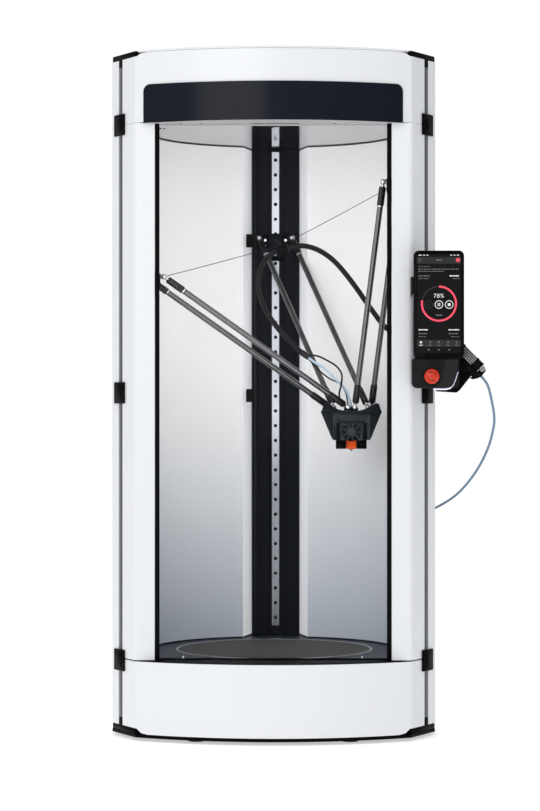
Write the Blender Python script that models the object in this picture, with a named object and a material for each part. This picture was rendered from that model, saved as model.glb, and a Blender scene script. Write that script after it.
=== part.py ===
"""An enclosed delta 3-D printer with a door, a touch-screen dock and a side-mounted filament drive.

Meshes are in metres with +Z up. The origin is the centre of the print sheet's top face, and +Y points
to the back tower. The dimensions below are in millimetres, and heights are measured from the bench.
"""

import math

import bmesh
import bpy
from mathutils import Vector

MM = 0.001
GAP = 0.3  # kept between pieces that touch

# Plan of the body: a triangle with bulging sides and a flat corner face at each tower
BED_TOP = 124.4
SIDE_RADIUS = 451.4
SIDE_CENTRE = 230.0  # each side's arc is centred this far out on the opposite side
CORNER_FACE = 268.0  # from the axis to each corner's outer face
CORNER_ROUND = 7.0
ARC_STEPS = 12
TOWERS = {"left": 210.0, "right": 330.0, "back": 90.0}
SEAM = {"left": -10.0, "right": 10.0, "back": 0.0}  # the seam's place along each corner face
SEAM_HALF = 7.0
SHEET = 3.0  # thickness of the outer panels

# Heights of the body
BASE_LOW = 5.0
BASE_TOP = 10.2
LOWER_COVER_TOP = 121.5
DECK_LOW = 116.0
DECK_TOP = 123.0
CEILING = 947.0
BAND_LOW = 945.2
BAND_TOP = 1004.0
LID_LOW = 1054.0
BODY_TOP = 1057.0
CAP = 8.6  # height of the corner caps above and below the panels
CAP_TAIL = 12.0
CAP_INNER = 262.0
CAP_HALF = 37.0

# Print chamber
FRONT_PLANE = -168.5
DOOR_HALF = 181.2
WINDOW_HALF = 175.7
LINER_RADIUS = 197.0
BACK_SLOT_HALF_ANGLE = 16.0
FRONT_SLOT_HALF_ANGLE = 17.0  # wider, so that the outer rods pass the liner's edge
INNER_CORNER = 228.0
SHEET_RADIUS = 153.0
HEATER_RADIUS = 157.5

# Motion
TOWER_INNER = 240.0
TOWER_DEPTH = 20.0
TOWER_HALF = 40.0
RAIL_FACE = 232.0
RAIL_HALF = 6.0
CARRIAGE_JOINT = 212.0  # from the axis to the carriage's ball centres
EFFECTOR_JOINT = 22.0  # from the effector's centre to its ball centres
PAIR_HALF = 27.5
ARM_LENGTH = 364.5
EFFECTOR = Vector((123.0, 0.0, 510.0 - BED_TOP))
BALL = 4.5
NOZZLE_TIP = 440.0
BELT_RADIUS = 218.0  # from the axis to the drive pulleys
BELT_SIDE = 34.0
SHAFT_HEIGHT = 73.0

# Dock, phone and filament drive
DOCK_BACK = -172.0
DOCK_FRONT = -197.6
PHONE_BACK = -189.4
PHONE_FRONT = -198.0
PHONE = (214.9, 290.3, 584.7, 749.0)  # left, right, bottom, top
STOP_BUTTON = (240.8, 557.8)
DRIVE_FRONT = -171.4
SIDE_ANGLE = 30.0  # direction of the right-hand panel's middle


def up(height):
    """Height above the bench, as a height above the print sheet."""
    return height - BED_TOP


def material(name, colour, roughness, metallic=0.0, alpha=1.0):
    made = bpy.data.materials.new(name)
    made.use_nodes = True
    shader = made.node_tree.nodes["Principled BSDF"]
    shader.inputs["Base Color"].default_value = (*colour, 1.0)
    shader.inputs["Roughness"].default_value = roughness
    shader.inputs["Metallic"].default_value = metallic
    shader.inputs["Alpha"].default_value = alpha
    return made


def add(shape, name, look, smooth=False):
    """Turn a bmesh in millimetres into a named object in metres."""
    bmesh.ops.scale(shape, vec=(MM, MM, MM), verts=shape.verts)
    bmesh.ops.recalc_face_normals(shape, faces=shape.faces)
    mesh = bpy.data.meshes.new(name)
    shape.to_mesh(mesh)
    shape.free()
    if smooth:
        mesh.shade_smooth()
        mesh.set_sharp_from_angle(angle=math.radians(35))
    made = bpy.data.objects.new(name, mesh)
    bpy.context.collection.objects.link(made)
    if look:
        mesh.materials.append(look)
    return made


def skin(rings, name, look, smooth=False):
    """Closed solid through rings of points, all with the same number of points."""
    shape = bmesh.new()
    rows = [[shape.verts.new(p) for p in ring] for ring in rings]
    count = len(rows[0])
    for below, above in zip(rows, rows[1:]):
        for i in range(count):
            j = (i + 1) % count
            shape.faces.new((below[i], below[j], above[j], above[i]))
    shape.faces.new(rows[0][::-1])
    shape.faces.new(rows[-1])
    return add(shape, name, look, smooth)


def prism(name, outline, low, high, look, smooth=False):
    return skin([[(x, y, z) for x, y in outline] for z in (low, high)], name, look, smooth)


def upright(name, outline, front, back, look, smooth=False):
    """Prism with its outline in X and Z, running from front to back along Y."""
    return skin([[(x, y, z) for x, z in outline] for y in (front, back)], name, look, smooth)


def turned(name, profile, sides, look):
    """Solid of revolution about Z; the profile is (radius, height) and starts and ends on the axis."""
    shape = bmesh.new()
    angles = [2 * math.pi * i / sides for i in range(sides)]
    rings = [
        [shape.verts.new((r * math.cos(a), r * math.sin(a), z)) for a in angles]
        for r, z in profile[1:-1]
    ]
    for below, above in zip(rings, rings[1:]):
        for i in range(sides):
            j = (i + 1) % sides
            shape.faces.new((below[i], below[j], above[j], above[i]))
    ends = (shape.verts.new((0, 0, profile[0][1])), shape.verts.new((0, 0, profile[-1][1])))
    for i in range(sides):
        j = (i + 1) % sides
        shape.faces.new((ends[0], rings[0][j], rings[0][i]))
        shape.faces.new((ends[1], rings[-1][i], rings[-1][j]))
    return add(shape, name, look, smooth=True)


def rod(name, radius, low, high, sides, look=None):
    return turned(name, [(0, low), (radius, low), (radius, high), (0, high)], sides, look)


def box_outline(x0, x1, y0, y1):
    return [(x0, y0), (x1, y0), (x1, y1), (x0, y1)]


def rounded(x0, x1, y0, y1, radius, steps=4):
    """Rectangle with round corners."""
    points = []
    centres = ((x1 - radius, y0 + radius, -90), (x1 - radius, y1 - radius, 0),
               (x0 + radius, y1 - radius, 90), (x0 + radius, y0 + radius, 180))
    for cx, cy, start in centres:
        for i in range(steps + 1):
            a = math.radians(start + 90 * i / steps)
            points.append((cx + radius * math.cos(a), cy + radius * math.sin(a)))
    return points


def octagon(half_x, front, back, chamfer, height):
    """Eight-sided ring, used for tapering housings."""
    return [(-half_x, front + chamfer, height), (-half_x + chamfer, front, height),
            (half_x - chamfer, front, height), (half_x, front + chamfer, height),
            (half_x, back - chamfer, height), (half_x - chamfer, back, height),
            (-half_x + chamfer, back, height), (-half_x, back - chamfer, height)]


def combine(target, tool, operation):
    """Cut or join a hidden tool with a piece."""
    tool.hide_render = True
    tool.display_type = "WIRE"
    step = target.modifiers.new(tool.name, "BOOLEAN")
    step.operation = operation
    step.object = tool


def turn(piece, angle, location=(0, 0, 0)):
    """Turn a piece that was built along +X to face a direction in plan."""
    piece.rotation_euler.z = math.radians(angle)
    piece.location = Vector(location) * MM
    return piece


def face_back(piece, location):
    """Turn a piece that was built along +Z to point to the back."""
    piece.rotation_euler.x = math.radians(-90)
    piece.location = Vector(location) * MM
    return piece


def radial(angle, out, along=0.0, height=0.0):
    """Point at a distance out in a direction, and along the perpendicular to it."""
    a = math.radians(angle)
    return Vector((out * math.cos(a) - along * math.sin(a),
                   out * math.sin(a) + along * math.cos(a), height))


def on_corner(side, along, out=CORNER_FACE):
    return tuple(radial(TOWERS[side], out, along).xy)


def side_arc(after_angle, inset=0.0, corner=CORNER_FACE):
    """Arc of the side that follows a tower, counter-clockwise, with a short step at each end."""
    reach = SIDE_RADIUS - inset
    half = math.sqrt(reach**2 - (corner + SIDE_CENTRE / 2)**2) - SIDE_CENTRE * math.sqrt(0.75)
    centre = radial(after_angle + 240, SIDE_CENTRE)
    first = radial(after_angle, corner, half) - centre
    last = radial(after_angle + 120, corner, -half) - centre
    sweep = first.xy.angle_signed(last.xy) * -1
    start = math.atan2(first.y, first.x)
    shares = [0, 0.025] + [i / ARC_STEPS for i in range(1, ARC_STEPS)] + [0.975, 1]
    return [(centre.x + reach * math.cos(start + sweep * k),
             centre.y + reach * math.sin(start + sweep * k)) for k in shares]


def body_outline(inset, corner):
    return [p for angle in (90, 210, 330) for p in side_arc(angle, inset, corner)]


def clipped(outline, front):
    """The part of an outline behind the line y = front."""
    kept = []
    for a, b in zip(outline, outline[1:] + outline[:1]):
        if a[1] >= front:
            kept.append(a)
        if (a[1] >= front) != (b[1] >= front):
            k = (front - a[1]) / (b[1] - a[1])
            kept.append((a[0] + k * (b[0] - a[0]), front))
    return kept


def eased(path, radius=CORNER_ROUND, steps=3):
    """Round the sharp corners of an open path."""
    points = [Vector(p) for p in path]
    result = [points[0]]
    for before, here, after in zip(points, points[1:], points[2:]):
        inward, outward = (here - before).normalized(), (after - here).normalized()
        bend = inward.angle(outward)
        if bend < math.radians(15):
            result.append(here)
            continue
        back = radius * math.tan(bend / 2)
        centre = here + (outward - inward).normalized() * radius / math.cos(bend / 2)
        start = here - inward * back - centre
        first, side = math.atan2(start.y, start.x), math.copysign(bend, inward.cross(outward))
        for i in range(steps + 1):
            a = first + side * i / steps
            result.append(centre + Vector((math.cos(a), math.sin(a))) * radius)
    return result + [points[-1]]


def wall(name, path, low, high, look, cap_low=None, cap_high=None, thickness=SHEET):
    """Panel that follows a path round the body; its edges step back where the corner caps are."""
    path = [Vector(p) for p in path]
    rings = []
    for i, here in enumerate(path):
        before = (here - path[i - 1]).normalized() if i else (path[1] - here).normalized()
        after = (path[i + 1] - here).normalized() if i + 1 < len(path) else before
        middle = (before + after).normalized()
        inward = Vector((-middle.y, middle.x)) * thickness / max(middle.dot(before), 0.5)
        inner = here + inward
        capped = max(here.dot(radial(a, 1).xy) for a in TOWERS.values()) > CAP_INNER + 0.2
        bottom = cap_low if capped and cap_low is not None else low
        top = cap_high if capped and cap_high is not None else high
        rings.append([(here.x, here.y, bottom), (here.x, here.y, top),
                      (inner.x, inner.y, top), (inner.x, inner.y, bottom)])
    return skin(rings, name, look, smooth=True)


def smooth_route(route, spacing):
    """Points at about an even spacing on a smooth curve through a route."""
    points = [Vector(p) for p in route]
    padded = [2 * points[0] - points[1], *points, 2 * points[-1] - points[-2]]
    result = []
    for a, b, c, d in zip(padded, padded[1:], padded[2:], padded[3:]):
        steps = max(1, round((c - b).length / spacing))
        for i in range(steps):
            k = i / steps
            result.append(b + 0.5 * k * ((c - a) + k * (2 * a - 5 * b + 4 * c - d
                                                        + k * (3 * b - a - 3 * c + d))))
    return result + [points[-1]]


def tube(name, route, radius, spacing, look):
    """Round flexible tube as a curve with flat ends."""
    points = smooth_route(route, spacing)
    curve = bpy.data.curves.new(name, "CURVE")
    curve.dimensions = "3D"
    curve.bevel_depth = radius * MM
    curve.bevel_resolution = 2
    curve.use_fill_caps = True
    line = curve.splines.new("POLY")
    line.points.add(len(points) - 1)
    for target, point in zip(line.points, points):
        target.co = (*(point * MM), 1)
    curve.materials.append(look)
    made = bpy.data.objects.new(name, curve)
    bpy.context.collection.objects.link(made)
    return made


def corner_caps(body, low, high, tail_low, tail_high):
    """Black corner pieces with a tail in each seam, joined to a frame plate."""
    for side, angle in TOWERS.items():
        outline = box_outline(CAP_INNER, CORNER_FACE, -CAP_HALF, CAP_HALF)
        cap = turn(prism(f"tool_cap_{body.name}_{side}", outline, low, high, None), angle)
        combine(body, cap, "UNION")
        half = SEAM_HALF - GAP
        strip = box_outline(CAP_INNER + 0.5, CORNER_FACE - 0.5, SEAM[side] - half, SEAM[side] + half)
        tail = turn(prism(f"tool_tail_{body.name}_{side}", strip, tail_low, tail_high, None), angle)
        combine(body, tail, "UNION")


def base(looks):
    """Base tray on round pads, with the lower corner caps."""
    outline = body_outline(GAP, CORNER_FACE - GAP)
    tray = prism("base_frame", outline, up(BASE_LOW), up(BASE_TOP), looks["frame_black"])
    top = BASE_TOP + CAP
    corner_caps(tray, up(BASE_TOP - 1), up(top), up(top - 1), up(top + CAP_TAIL))
    for place, angle in (("left", 235), ("right", 305), ("back_right", 75), ("back_left", 105)):
        pad = rod(f"tool_pad_{place}", 14, up(0), up(BASE_LOW + 1), 16)
        pad.location = radial(angle, 205) * MM
        combine(tray, pad, "UNION")


def top_frame(looks):
    """Plate on the towers' tops, with the upper corner caps."""
    outline = body_outline(3.5, 263)
    plate = prism("top_frame", outline, up(LID_LOW - 5.5), up(LID_LOW - 0.5), looks["frame_black"])
    low = BODY_TOP - CAP
    corner_caps(plate, up(low), up(BODY_TOP), up(low - CAP_TAIL), up(low + 1))


def front_path():
    """Round the front from the left seam to the right seam."""
    return eased([on_corner("left", SEAM["left"] + SEAM_HALF), *side_arc(210),
                  on_corner("right", SEAM["right"] - SEAM_HALF)])


def covers(looks):
    """White lower cover, upper cover with its lid, and the dark band with its soffit."""
    cap_low, cap_high = up(BASE_TOP + CAP + GAP), up(BODY_TOP - CAP - GAP)
    wall("lower_cover", front_path(), up(BASE_TOP + GAP), up(LOWER_COVER_TOP), looks["white"],
         cap_low=cap_low)
    cover = wall("upper_cover", front_path(), up(CEILING), up(LID_LOW + 1), looks["white"],
                 cap_high=cap_high)
    lid = prism("tool_lid", body_outline(0, CAP_INNER - GAP), up(LID_LOW), up(BODY_TOP), None)
    combine(cover, lid, "UNION")

    reach = SIDE_RADIUS + 0.8
    band_half = math.asin(198 / reach)
    steps = [band_half * (i / ARC_STEPS * 2 - 1) for i in range(ARC_STEPS + 1)]
    outer = [((reach + 1) * math.sin(a), SIDE_CENTRE - (reach + 1) * math.cos(a)) for a in steps]
    band = wall("upper_band", outer, up(BAND_LOW), up(BAND_TOP), looks["band_black"], thickness=1)
    soffit = [((reach + 0.5) * math.sin(a), SIDE_CENTRE - (reach + 0.5) * math.cos(a)) for a in steps]
    soffit += [(soffit[-1][0], FRONT_PLANE - 1.5), (soffit[0][0], FRONT_PLANE - 1.5)]
    flange = prism("tool_soffit", soffit, up(BAND_LOW), up(CEILING - GAP), None)
    combine(band, flange, "UNION")


def side_panels(looks):
    """Rear side panels, from each front tower's seam round to the back tower's seam."""
    seam, half = SEAM["right"], SEAM_HALF
    paths = {
        "right": [on_corner("right", seam + half), *side_arc(330), on_corner("back", -half)],
        "left": [on_corner("back", half), *side_arc(90), on_corner("left", -seam - half)],
    }
    for side, path in paths.items():
        wall(f"side_panel_{side}", eased(path), up(BASE_TOP + GAP), up(LID_LOW - GAP),
             looks["white"], up(BASE_TOP + CAP + GAP), up(BODY_TOP - CAP - GAP))


def columns(looks):
    """Fixed white columns on both sides of the door."""
    face_edge = DOOR_HALF + GAP
    corner = [p for p in side_arc(210)][0]
    left = eased([on_corner("left", SEAM["left"] + SEAM_HALF), corner, (-face_edge, corner[1])])
    right = [(-p[0], p[1]) for p in reversed(left)]
    for side, path in (("left", left), ("right", right)):
        wall(f"column_{side}", path, up(DECK_TOP + GAP), up(CEILING - GAP), looks["white"])


def chamber(looks):
    """Deck, heated plate, print sheet, ceiling and the two curved liners."""
    deck = prism("bed_deck", body_outline(3.4, INNER_CORNER), up(DECK_LOW), up(DECK_TOP), looks["deck"])
    combine(deck, rod("tool_deck_hole", HEATER_RADIUS + 0.5, up(100), up(140), 48), "DIFFERENCE")
    rod("heated_bed", HEATER_RADIUS, up(DECK_LOW - 4), up(DECK_TOP + 0.4), 48, looks["aluminium"])
    rod("print_sheet", SHEET_RADIUS, up(DECK_TOP + 0.7), 0, 48, looks["sheet"])
    ceiling = clipped(body_outline(3.5, INNER_CORNER), -160)
    prism("ceiling_plate", ceiling, up(CEILING), up(CEILING + 3), looks["bright_metal"])
    ends = {
        "left": (TOWERS["back"] + BACK_SLOT_HALF_ANGLE, TOWERS["left"] - FRONT_SLOT_HALF_ANGLE),
        "right": (TOWERS["right"] - 360 + FRONT_SLOT_HALF_ANGLE, TOWERS["back"] - BACK_SLOT_HALF_ANGLE),
    }
    for side, (first, last) in ends.items():
        angles = [first + (last - first) * i / 12 for i in range(13)]
        path = [tuple(radial(a, LINER_RADIUS + 2).xy) for a in angles]
        wall(f"liner_{side}", path, up(DECK_TOP + GAP), up(CEILING - GAP), looks["liner"],
             thickness=2)


def tower_section():
    """Half of the extrusion's outline: two grooves inside and one outside, mirrored by the caller."""
    inner, outer, groove = TOWER_INNER, TOWER_INNER + TOWER_DEPTH, 5.0
    return [(inner, 12), (inner + groove, 12), (inner + groove, 17), (inner, 17),
            (inner, 30), (inner + groove, 30), (inner + groove, 35), (inner, 35),
            (inner, TOWER_HALF), (outer, TOWER_HALF), (outer, 16),
            (outer - groove, 16), (outer - groove, 4), (outer, 4)]


def towers(looks):
    """Extrusions with their linear rails and the belt drives at their feet."""
    half = tower_section()
    section = [(x, -y) for x, y in reversed(half)] + half
    rail = box_outline(RAIL_FACE, TOWER_INNER - GAP, -RAIL_HALF, RAIL_HALF)
    for side, angle in TOWERS.items():
        turn(prism(f"tower_{side}", section, up(BASE_TOP + GAP), up(LID_LOW - 5.8),
                   looks["anodised"]), angle)
        turn(prism(f"rail_{side}", rail, up(140), up(942), looks["steel"]), angle)
        belt_drive(side, angle, looks)


def belt_drive(side, angle, looks):
    """Motor lying along the tower's face, and its pulley, whose shaft runs in the motor's bore."""
    way = -1 if side == "left" else 1  # the front pair are mirror images
    face = (BELT_SIDE - 5.5) * way
    near, far = sorted((face, face - 40 * way))
    outline = [(BELT_RADIUS + x, SHAFT_HEIGHT - BED_TOP + z)
               for x, z in ((-21, -16), (-16, -21), (16, -21), (21, -16),
                            (21, 16), (16, 21), (-16, 21), (-21, 16))]
    motor = turn(upright(f"drive_motor_{side}", outline, near, far, looks["motor"]), angle)
    centre = radial(angle, BELT_RADIUS, face, up(SHAFT_HEIGHT))
    bore = rod(f"tool_motor_bore_{side}", 2.7, -12, 3, 16)
    profile = [(0, -10), (2.5, -10), (2.5, 0.6), (9, 0.6), (9, 1.8), (6.37, 1.8), (6.37, 8.8),
               (9, 8.8), (9, 10), (0, 10)]
    pulley = turned(f"drive_pulley_{side}", profile, 16, looks["aluminium"])
    for piece in (bore, pulley):
        piece.rotation_euler = (math.radians(-90 * way), 0, math.radians(angle))
        piece.location = centre * MM
    combine(motor, bore, "DIFFERENCE")


def carriage_height(angle):
    """Height of a carriage's balls over the effector's, from the arm length."""
    out = radial(angle, CARRIAGE_JOINT - EFFECTOR_JOINT).xy - EFFECTOR.xy
    return math.sqrt(ARM_LENGTH**2 - out.length_squared)


def carriages(looks):
    """Blocks that straddle the rails, each with a plate and two ball seats."""
    for side, angle in TOWERS.items():
        centre = radial(angle, CARRIAGE_JOINT, 0, EFFECTOR.z + carriage_height(angle))
        out = RAIL_FACE - CARRIAGE_JOINT
        saddle = [(13, -13.5), (out + 5.5, -13.5), (out + 5.5, -RAIL_HALF - 0.4),
                  (out - GAP, -RAIL_HALF - 0.4), (out - GAP, RAIL_HALF + 0.4),
                  (out + 5.5, RAIL_HALF + 0.4), (out + 5.5, 13.5), (13, 13.5)]
        body = turn(prism(f"carriage_{side}", saddle, -38, 8, looks["black_plastic"]), angle, centre)
        plate = turn(prism(f"tool_plate_{side}", box_outline(6.5, 13.5, -30.5, 30.5), -19, 4.5, None),
                     angle, centre)
        combine(body, plate, "UNION")
        for end in (-1, 1):
            seat = rod(f"tool_seat_{side}_{end}", 2.7, BALL + GAP, 9, 12)
            seat.rotation_euler = (0, math.radians(90), math.radians(angle))
            seat.location = (centre + radial(angle, 0, end * PAIR_HALF)) * MM
            combine(body, seat, "UNION")


def arm_profile():
    """Ball, neck, sleeve and tube of a rod; it is the same from both ends."""
    half = [(0, -BALL), (2.6, -3.7), (BALL, -0.4), (3.2, 3.2), (2.2, 5.5), (5.5, 8), (5.5, 38),
            (4.5, 39)]
    return half + [(r, ARM_LENGTH - z) for r, z in reversed(half)]


def arms(looks):
    """Six ball-ended rods, in pairs from the effector up to each carriage."""
    for side, angle in TOWERS.items():
        run = radial(angle, CARRIAGE_JOINT - EFFECTOR_JOINT, 0, carriage_height(angle))
        run = run - Vector((*EFFECTOR.xy, 0))
        for label, end in (("a", -1), ("b", 1)):
            arm = turned(f"arm_{side}_{label}", arm_profile(), 12, looks["carbon"])
            arm.location = (EFFECTOR + radial(angle, EFFECTOR_JOINT, end * PAIR_HALF)) * MM
            arm.rotation_euler = run.to_track_quat("Z", "Y").to_euler()


def effector(looks):
    """Tapered print head with its fan, air ducts and the silicone-covered hot end."""
    top, bottom = 504.6 - 510, 458.3 - 510
    rings = [octagon(29.5, -38, 30, 8, bottom), octagon(49, -44, 44, 22, top - 5),
             octagon(46, -41, 42, 21, top), octagon(12, -12, 12, 5, top), octagon(11, -11, 11, 4, 2)]
    body = skin(rings, "effector_body", looks["black_plastic"])
    fan_height = 471.3 - 510
    tools = [prism("tool_fan_housing", box_outline(-17.5, 17.5, -46, -30), 455 - 510, 488 - 510, None)]
    for label, left in (("left", -24.0), ("right", 9.3)):
        tools.append(prism(f"tool_duct_{label}", box_outline(left, left + 14.7, -20, 14),
                           444 - 510, bottom + 1, None))
    for tool in tools:
        combine(body, tool, "UNION")
    tools.append(rod("tool_fan_bore", 14.9, -1, 7, 32))
    combine(body, tools[-1], "DIFFERENCE")
    for piece in (body, *tools):
        piece.location = EFFECTOR * MM
    face_back(tools[-1], EFFECTOR + Vector((0, -46, fan_height)))

    blades, steps = 7, 6
    outline = []
    for i in range(blades * steps):
        a = 2 * math.pi * (i + 0.8 * (i % steps == 3)) / (blades * steps)
        reach = 14.0 if i % steps in (2, 3, 4) else 8.0
        outline.append((reach * math.cos(a), reach * math.sin(a)))
    face_back(prism("fan_rotor", outline, 0, 4.5, looks["black_plastic"]),
              EFFECTOR + Vector((0, -45.3, fan_height)))

    tip = up(NOZZLE_TIP) - EFFECTOR.z
    rings = [octagon(1, -1, 1, 0.4, tip), octagon(5, -5, 5, 2, tip + 3.5),
             octagon(8.3, -8, 8, 2.5, tip + 7), octagon(8.3, -10, 10, 2, bottom - GAP)]
    skin(rings, "hot_end", looks["silicone"]).location = EFFECTOR * MM


HOSE_WALL_TO_CLAMP = [(193.6, 27, 634), (183, 26.5, 636), (172.5, 25, 646), (160.2, 22, 662),
                      (145.3, 20, 682.8), (130.5, 18, 703.7), (113.3, 18, 726.2), (96, 20, 745.5),
                      (76.5, 24, 760.2), (56.8, 27, 768.5), (39.7, 30, 770.3), (14, 31, 764.8)]
HOSE_CLAMP_TO_HEAD = [(13, 31, 764.4), (0, 30, 759.5), (-12, 27, 750), (-22.1, 20, 732.6),
                      (-25.6, 12, 708.2), (-21.8, 6, 685.7), (-12, 2, 662.7), (2.9, 0, 640.4),
                      (19.8, 0, 621.2), (37.1, 0, 603.6), (54, 0, 591), (81, 0, 574), (100, 0, 560),
                      (114, 0, 543), (122, 0, 527), (123, 0, 512.8)]
FILAMENT_ROUTE = [(319.5, -158, 557.8), (328, -160, 546.5), (333.6, -156, 528.9), (339.9, -146, 497.4),
                  (339.2, -130, 474.1), (331.8, -100, 441.6), (314.8, -62, 404.5), (290, -10, 370.4),
                  (259.7, 45, 347.2), (240, 88, 338.5), (225, 122.3, 337)]


def above_bench(route):
    return [(x, y, up(z)) for x, y, z in route]


def hoses(looks):
    """Cable hose from the wall to the effector in two lengths, and the outer filament tube."""
    tube("hose_upper", above_bench(HOSE_WALL_TO_CLAMP), 4.2, 16, looks["hose"])
    tube("hose_lower", above_bench(HOSE_CLAMP_TO_HEAD), 4.2, 14, looks["hose"])
    tube("filament_tube", above_bench(FILAMENT_ROUTE), 2.0, 12, looks["clear_tube"])


def door(looks):
    """Clear pane in a thin black frame; both have their origin on the hinge line."""
    hinge = Vector((-DOOR_HALF - 0.15, FRONT_PLANE - 1, 0))
    low, high = up(DECK_TOP + 0.6), up(BAND_LOW - GAP)
    frame = upright("door_frame", box_outline(-DOOR_HALF, DOOR_HALF, low, high), FRONT_PLANE,
                    FRONT_PLANE + SHEET, looks["frame_black"])
    window = upright("tool_window", box_outline(-WINDOW_HALF, WINDOW_HALF, low + 3, high - 3),
                     FRONT_PLANE - 5, FRONT_PLANE + SHEET + 5, None)
    half = WINDOW_HALF - GAP
    pane = upright("door_pane", box_outline(-half, half, low + 3 + GAP, high - 3 - GAP),
                   FRONT_PLANE, FRONT_PLANE + SHEET, looks["pane"])
    combine(frame, window, "DIFFERENCE")
    for piece in (frame, pane):
        for vertex in piece.data.vertices:
            vertex.co -= hinge * MM
        piece.location = hinge * MM


def clips(looks):
    """Black clips that hold the panels' edges across the two front seams."""
    for side in ("left", "right"):
        outline = box_outline(CORNER_FACE + GAP, CORNER_FACE + 3.8, SEAM[side] - 17.5, SEAM[side] + 17.5)
        for level, height in (("low", 119.6), ("middle", 533.0), ("high", 947.6)):
            turn(prism(f"panel_clip_{side}_{level}", outline, up(height - 16.5), up(height + 16.5),
                       looks["black_plastic"]), TOWERS[side])


def dock(looks):
    """Phone dock on the right front corner, with a shelf, a side grip and the stop button."""
    right, bottom = PHONE[1] - 7, 539.8
    shelf = up(PHONE[2] - GAP)
    back_plate = rounded(211.2, right, up(bottom), up(722), 8)
    body = upright("dock", back_plate, PHONE_BACK + GAP, DOCK_BACK, looks["dock_grey"])
    housing = [(281.8, shelf), (211.2, shelf), (211.2, up(bottom + 8)), (213.5, up(bottom + 2.3)),
               (219.2, up(bottom)), (262, up(bottom)), (270.5, up(bottom + 4)),
               (275, up(bottom + 12)), (280.3, up(564.5))]
    tools = [
        upright("tool_housing", housing, DOCK_FRONT, DOCK_BACK - 1, None),
        upright("tool_grip", box_outline(209.6, PHONE[0] - GAP, up(678), up(709)),
                PHONE_FRONT + 3, DOCK_BACK - 1, None),
        dock_arm(),
    ]
    for tool in tools:
        combine(body, tool, "UNION")
    x, height = STOP_BUTTON
    hole = face_back(rod("tool_button_hole", 6.5, -1, 15, 16), (x, DOCK_FRONT, up(height)))
    combine(body, hole, "DIFFERENCE")

    dome = [(11.75 * math.cos(a), -7 - 7 * math.sin(a)) for a in (math.radians(18 * i) for i in range(5))]
    profile = [(0, -14), *reversed(dome), (11.75, -5.2), (6, -5.2), (6, 8), (0, 8)]
    face_back(turned("stop_button", profile, 20, looks["red"]), (x, DOCK_FRONT, up(height)))

    left, right, low, high = PHONE
    upright("phone", rounded(left, right, up(low), up(high), 8), PHONE_FRONT, PHONE_BACK, looks["phone"])


def dock_arm():
    """Bracket from the back of the dock to the right-hand seam."""
    out, angle = CORNER_FACE + 0.4, TOWERS["right"]
    ends = [tuple(radial(angle, out, SEAM["right"] + k).xy) for k in (12, -12)]
    outline = [(222, DOCK_BACK - 1), (262, DOCK_BACK - 1), *ends]
    return prism("tool_dock_arm", outline, up(600), up(660), None)


def filament_drive(looks):
    """Extruder on a bent arm behind the dock, with its flat motor turned by 45 degrees."""
    outline = [(250, 535), (281, 533), (286.2, 537.3), (303, 559), (308, 556.5), (322, 561.5),
               (326, 567), (322, 574.4), (311.8, 564.5), (283, 593.4), (255, 593.4), (250, 580)]
    upright("extruder_body", [(x, up(z)) for x, z in outline], DRIVE_FRONT, DRIVE_FRONT + 27,
            looks["black_plastic"])
    centre = Vector((302, DRIVE_FRONT, up(586.8))) * MM
    motor = upright("extruder_motor", box_outline(-21.7, 21.7, -8, 8), 0, 40, looks["motor"])
    motor.rotation_euler.y = math.radians(45)
    motor.location = centre


def spool_mount(looks):
    """Bracket on the right-hand panel with a spool hub and a guide for the filament tube."""
    out = SIDE_RADIUS - SIDE_CENTRE + 0.5
    plate = prism("spool_bracket", box_outline(out, out + 6, -20, 20), up(325), up(450),
                  looks["black_plastic"])
    guide = prism("tool_guide", box_outline(out + 3, out + 42, -6, 4), up(329), up(345), None)
    axle = rod("tool_axle", 5, out + 3, out + 66, 16)
    cap = rod("tool_axle_cap", 9, out + 64, out + 67, 16)
    profile = [(5.3, out + 9), (26, out + 9), (26, out + 12), (22, out + 14), (22, out + 62), (5.3, out + 62)]
    hub = ring("spool_hub", profile, 24, looks["dock_grey"])
    for piece in (axle, cap, hub):
        piece.rotation_euler = (0, math.radians(90), math.radians(SIDE_ANGLE))
        piece.location.z = up(420) * MM
    for tool in (guide, axle, cap):
        combine(plate, tool, "UNION")
    turn(plate, SIDE_ANGLE)
    turn(guide, SIDE_ANGLE)


def ring(name, profile, sides, look):
    """Solid of revolution about Z with a hole: the closed profile never meets the axis."""
    shape = bmesh.new()
    columns_of_points = []
    for i in range(sides):
        a = 2 * math.pi * i / sides
        columns_of_points.append(
            [shape.verts.new((r * math.cos(a), r * math.sin(a), z)) for r, z in profile])
    for here, after in zip(columns_of_points, columns_of_points[1:] + columns_of_points[:1]):
        for i in range(len(profile)):
            j = (i + 1) % len(profile)
            shape.faces.new((here[i], after[i], after[j], here[j]))
    return add(shape, name, look, smooth=True)


def electrics(looks):
    """Power supply and control board in the base, and the mains inlet on the back."""
    floor = BASE_TOP + GAP
    prism("power_supply", box_outline(-100, 100, -110, -10), up(floor), up(floor + 42), looks["steel"])
    prism("control_board", box_outline(-85, 85, 20, 120), up(floor), up(floor + 18), looks["board"])
    inlet = prism("power_inlet", box_outline(9.5, 38, CORNER_FACE + 0.4, CORNER_FACE + 10.4),
                  up(40), up(90), looks["black_plastic"])
    socket = prism("tool_socket", box_outline(14.5, 33, CORNER_FACE + 2.4, CORNER_FACE + 15),
                   up(50), up(77), None)
    combine(inlet, socket, "DIFFERENCE")


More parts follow.
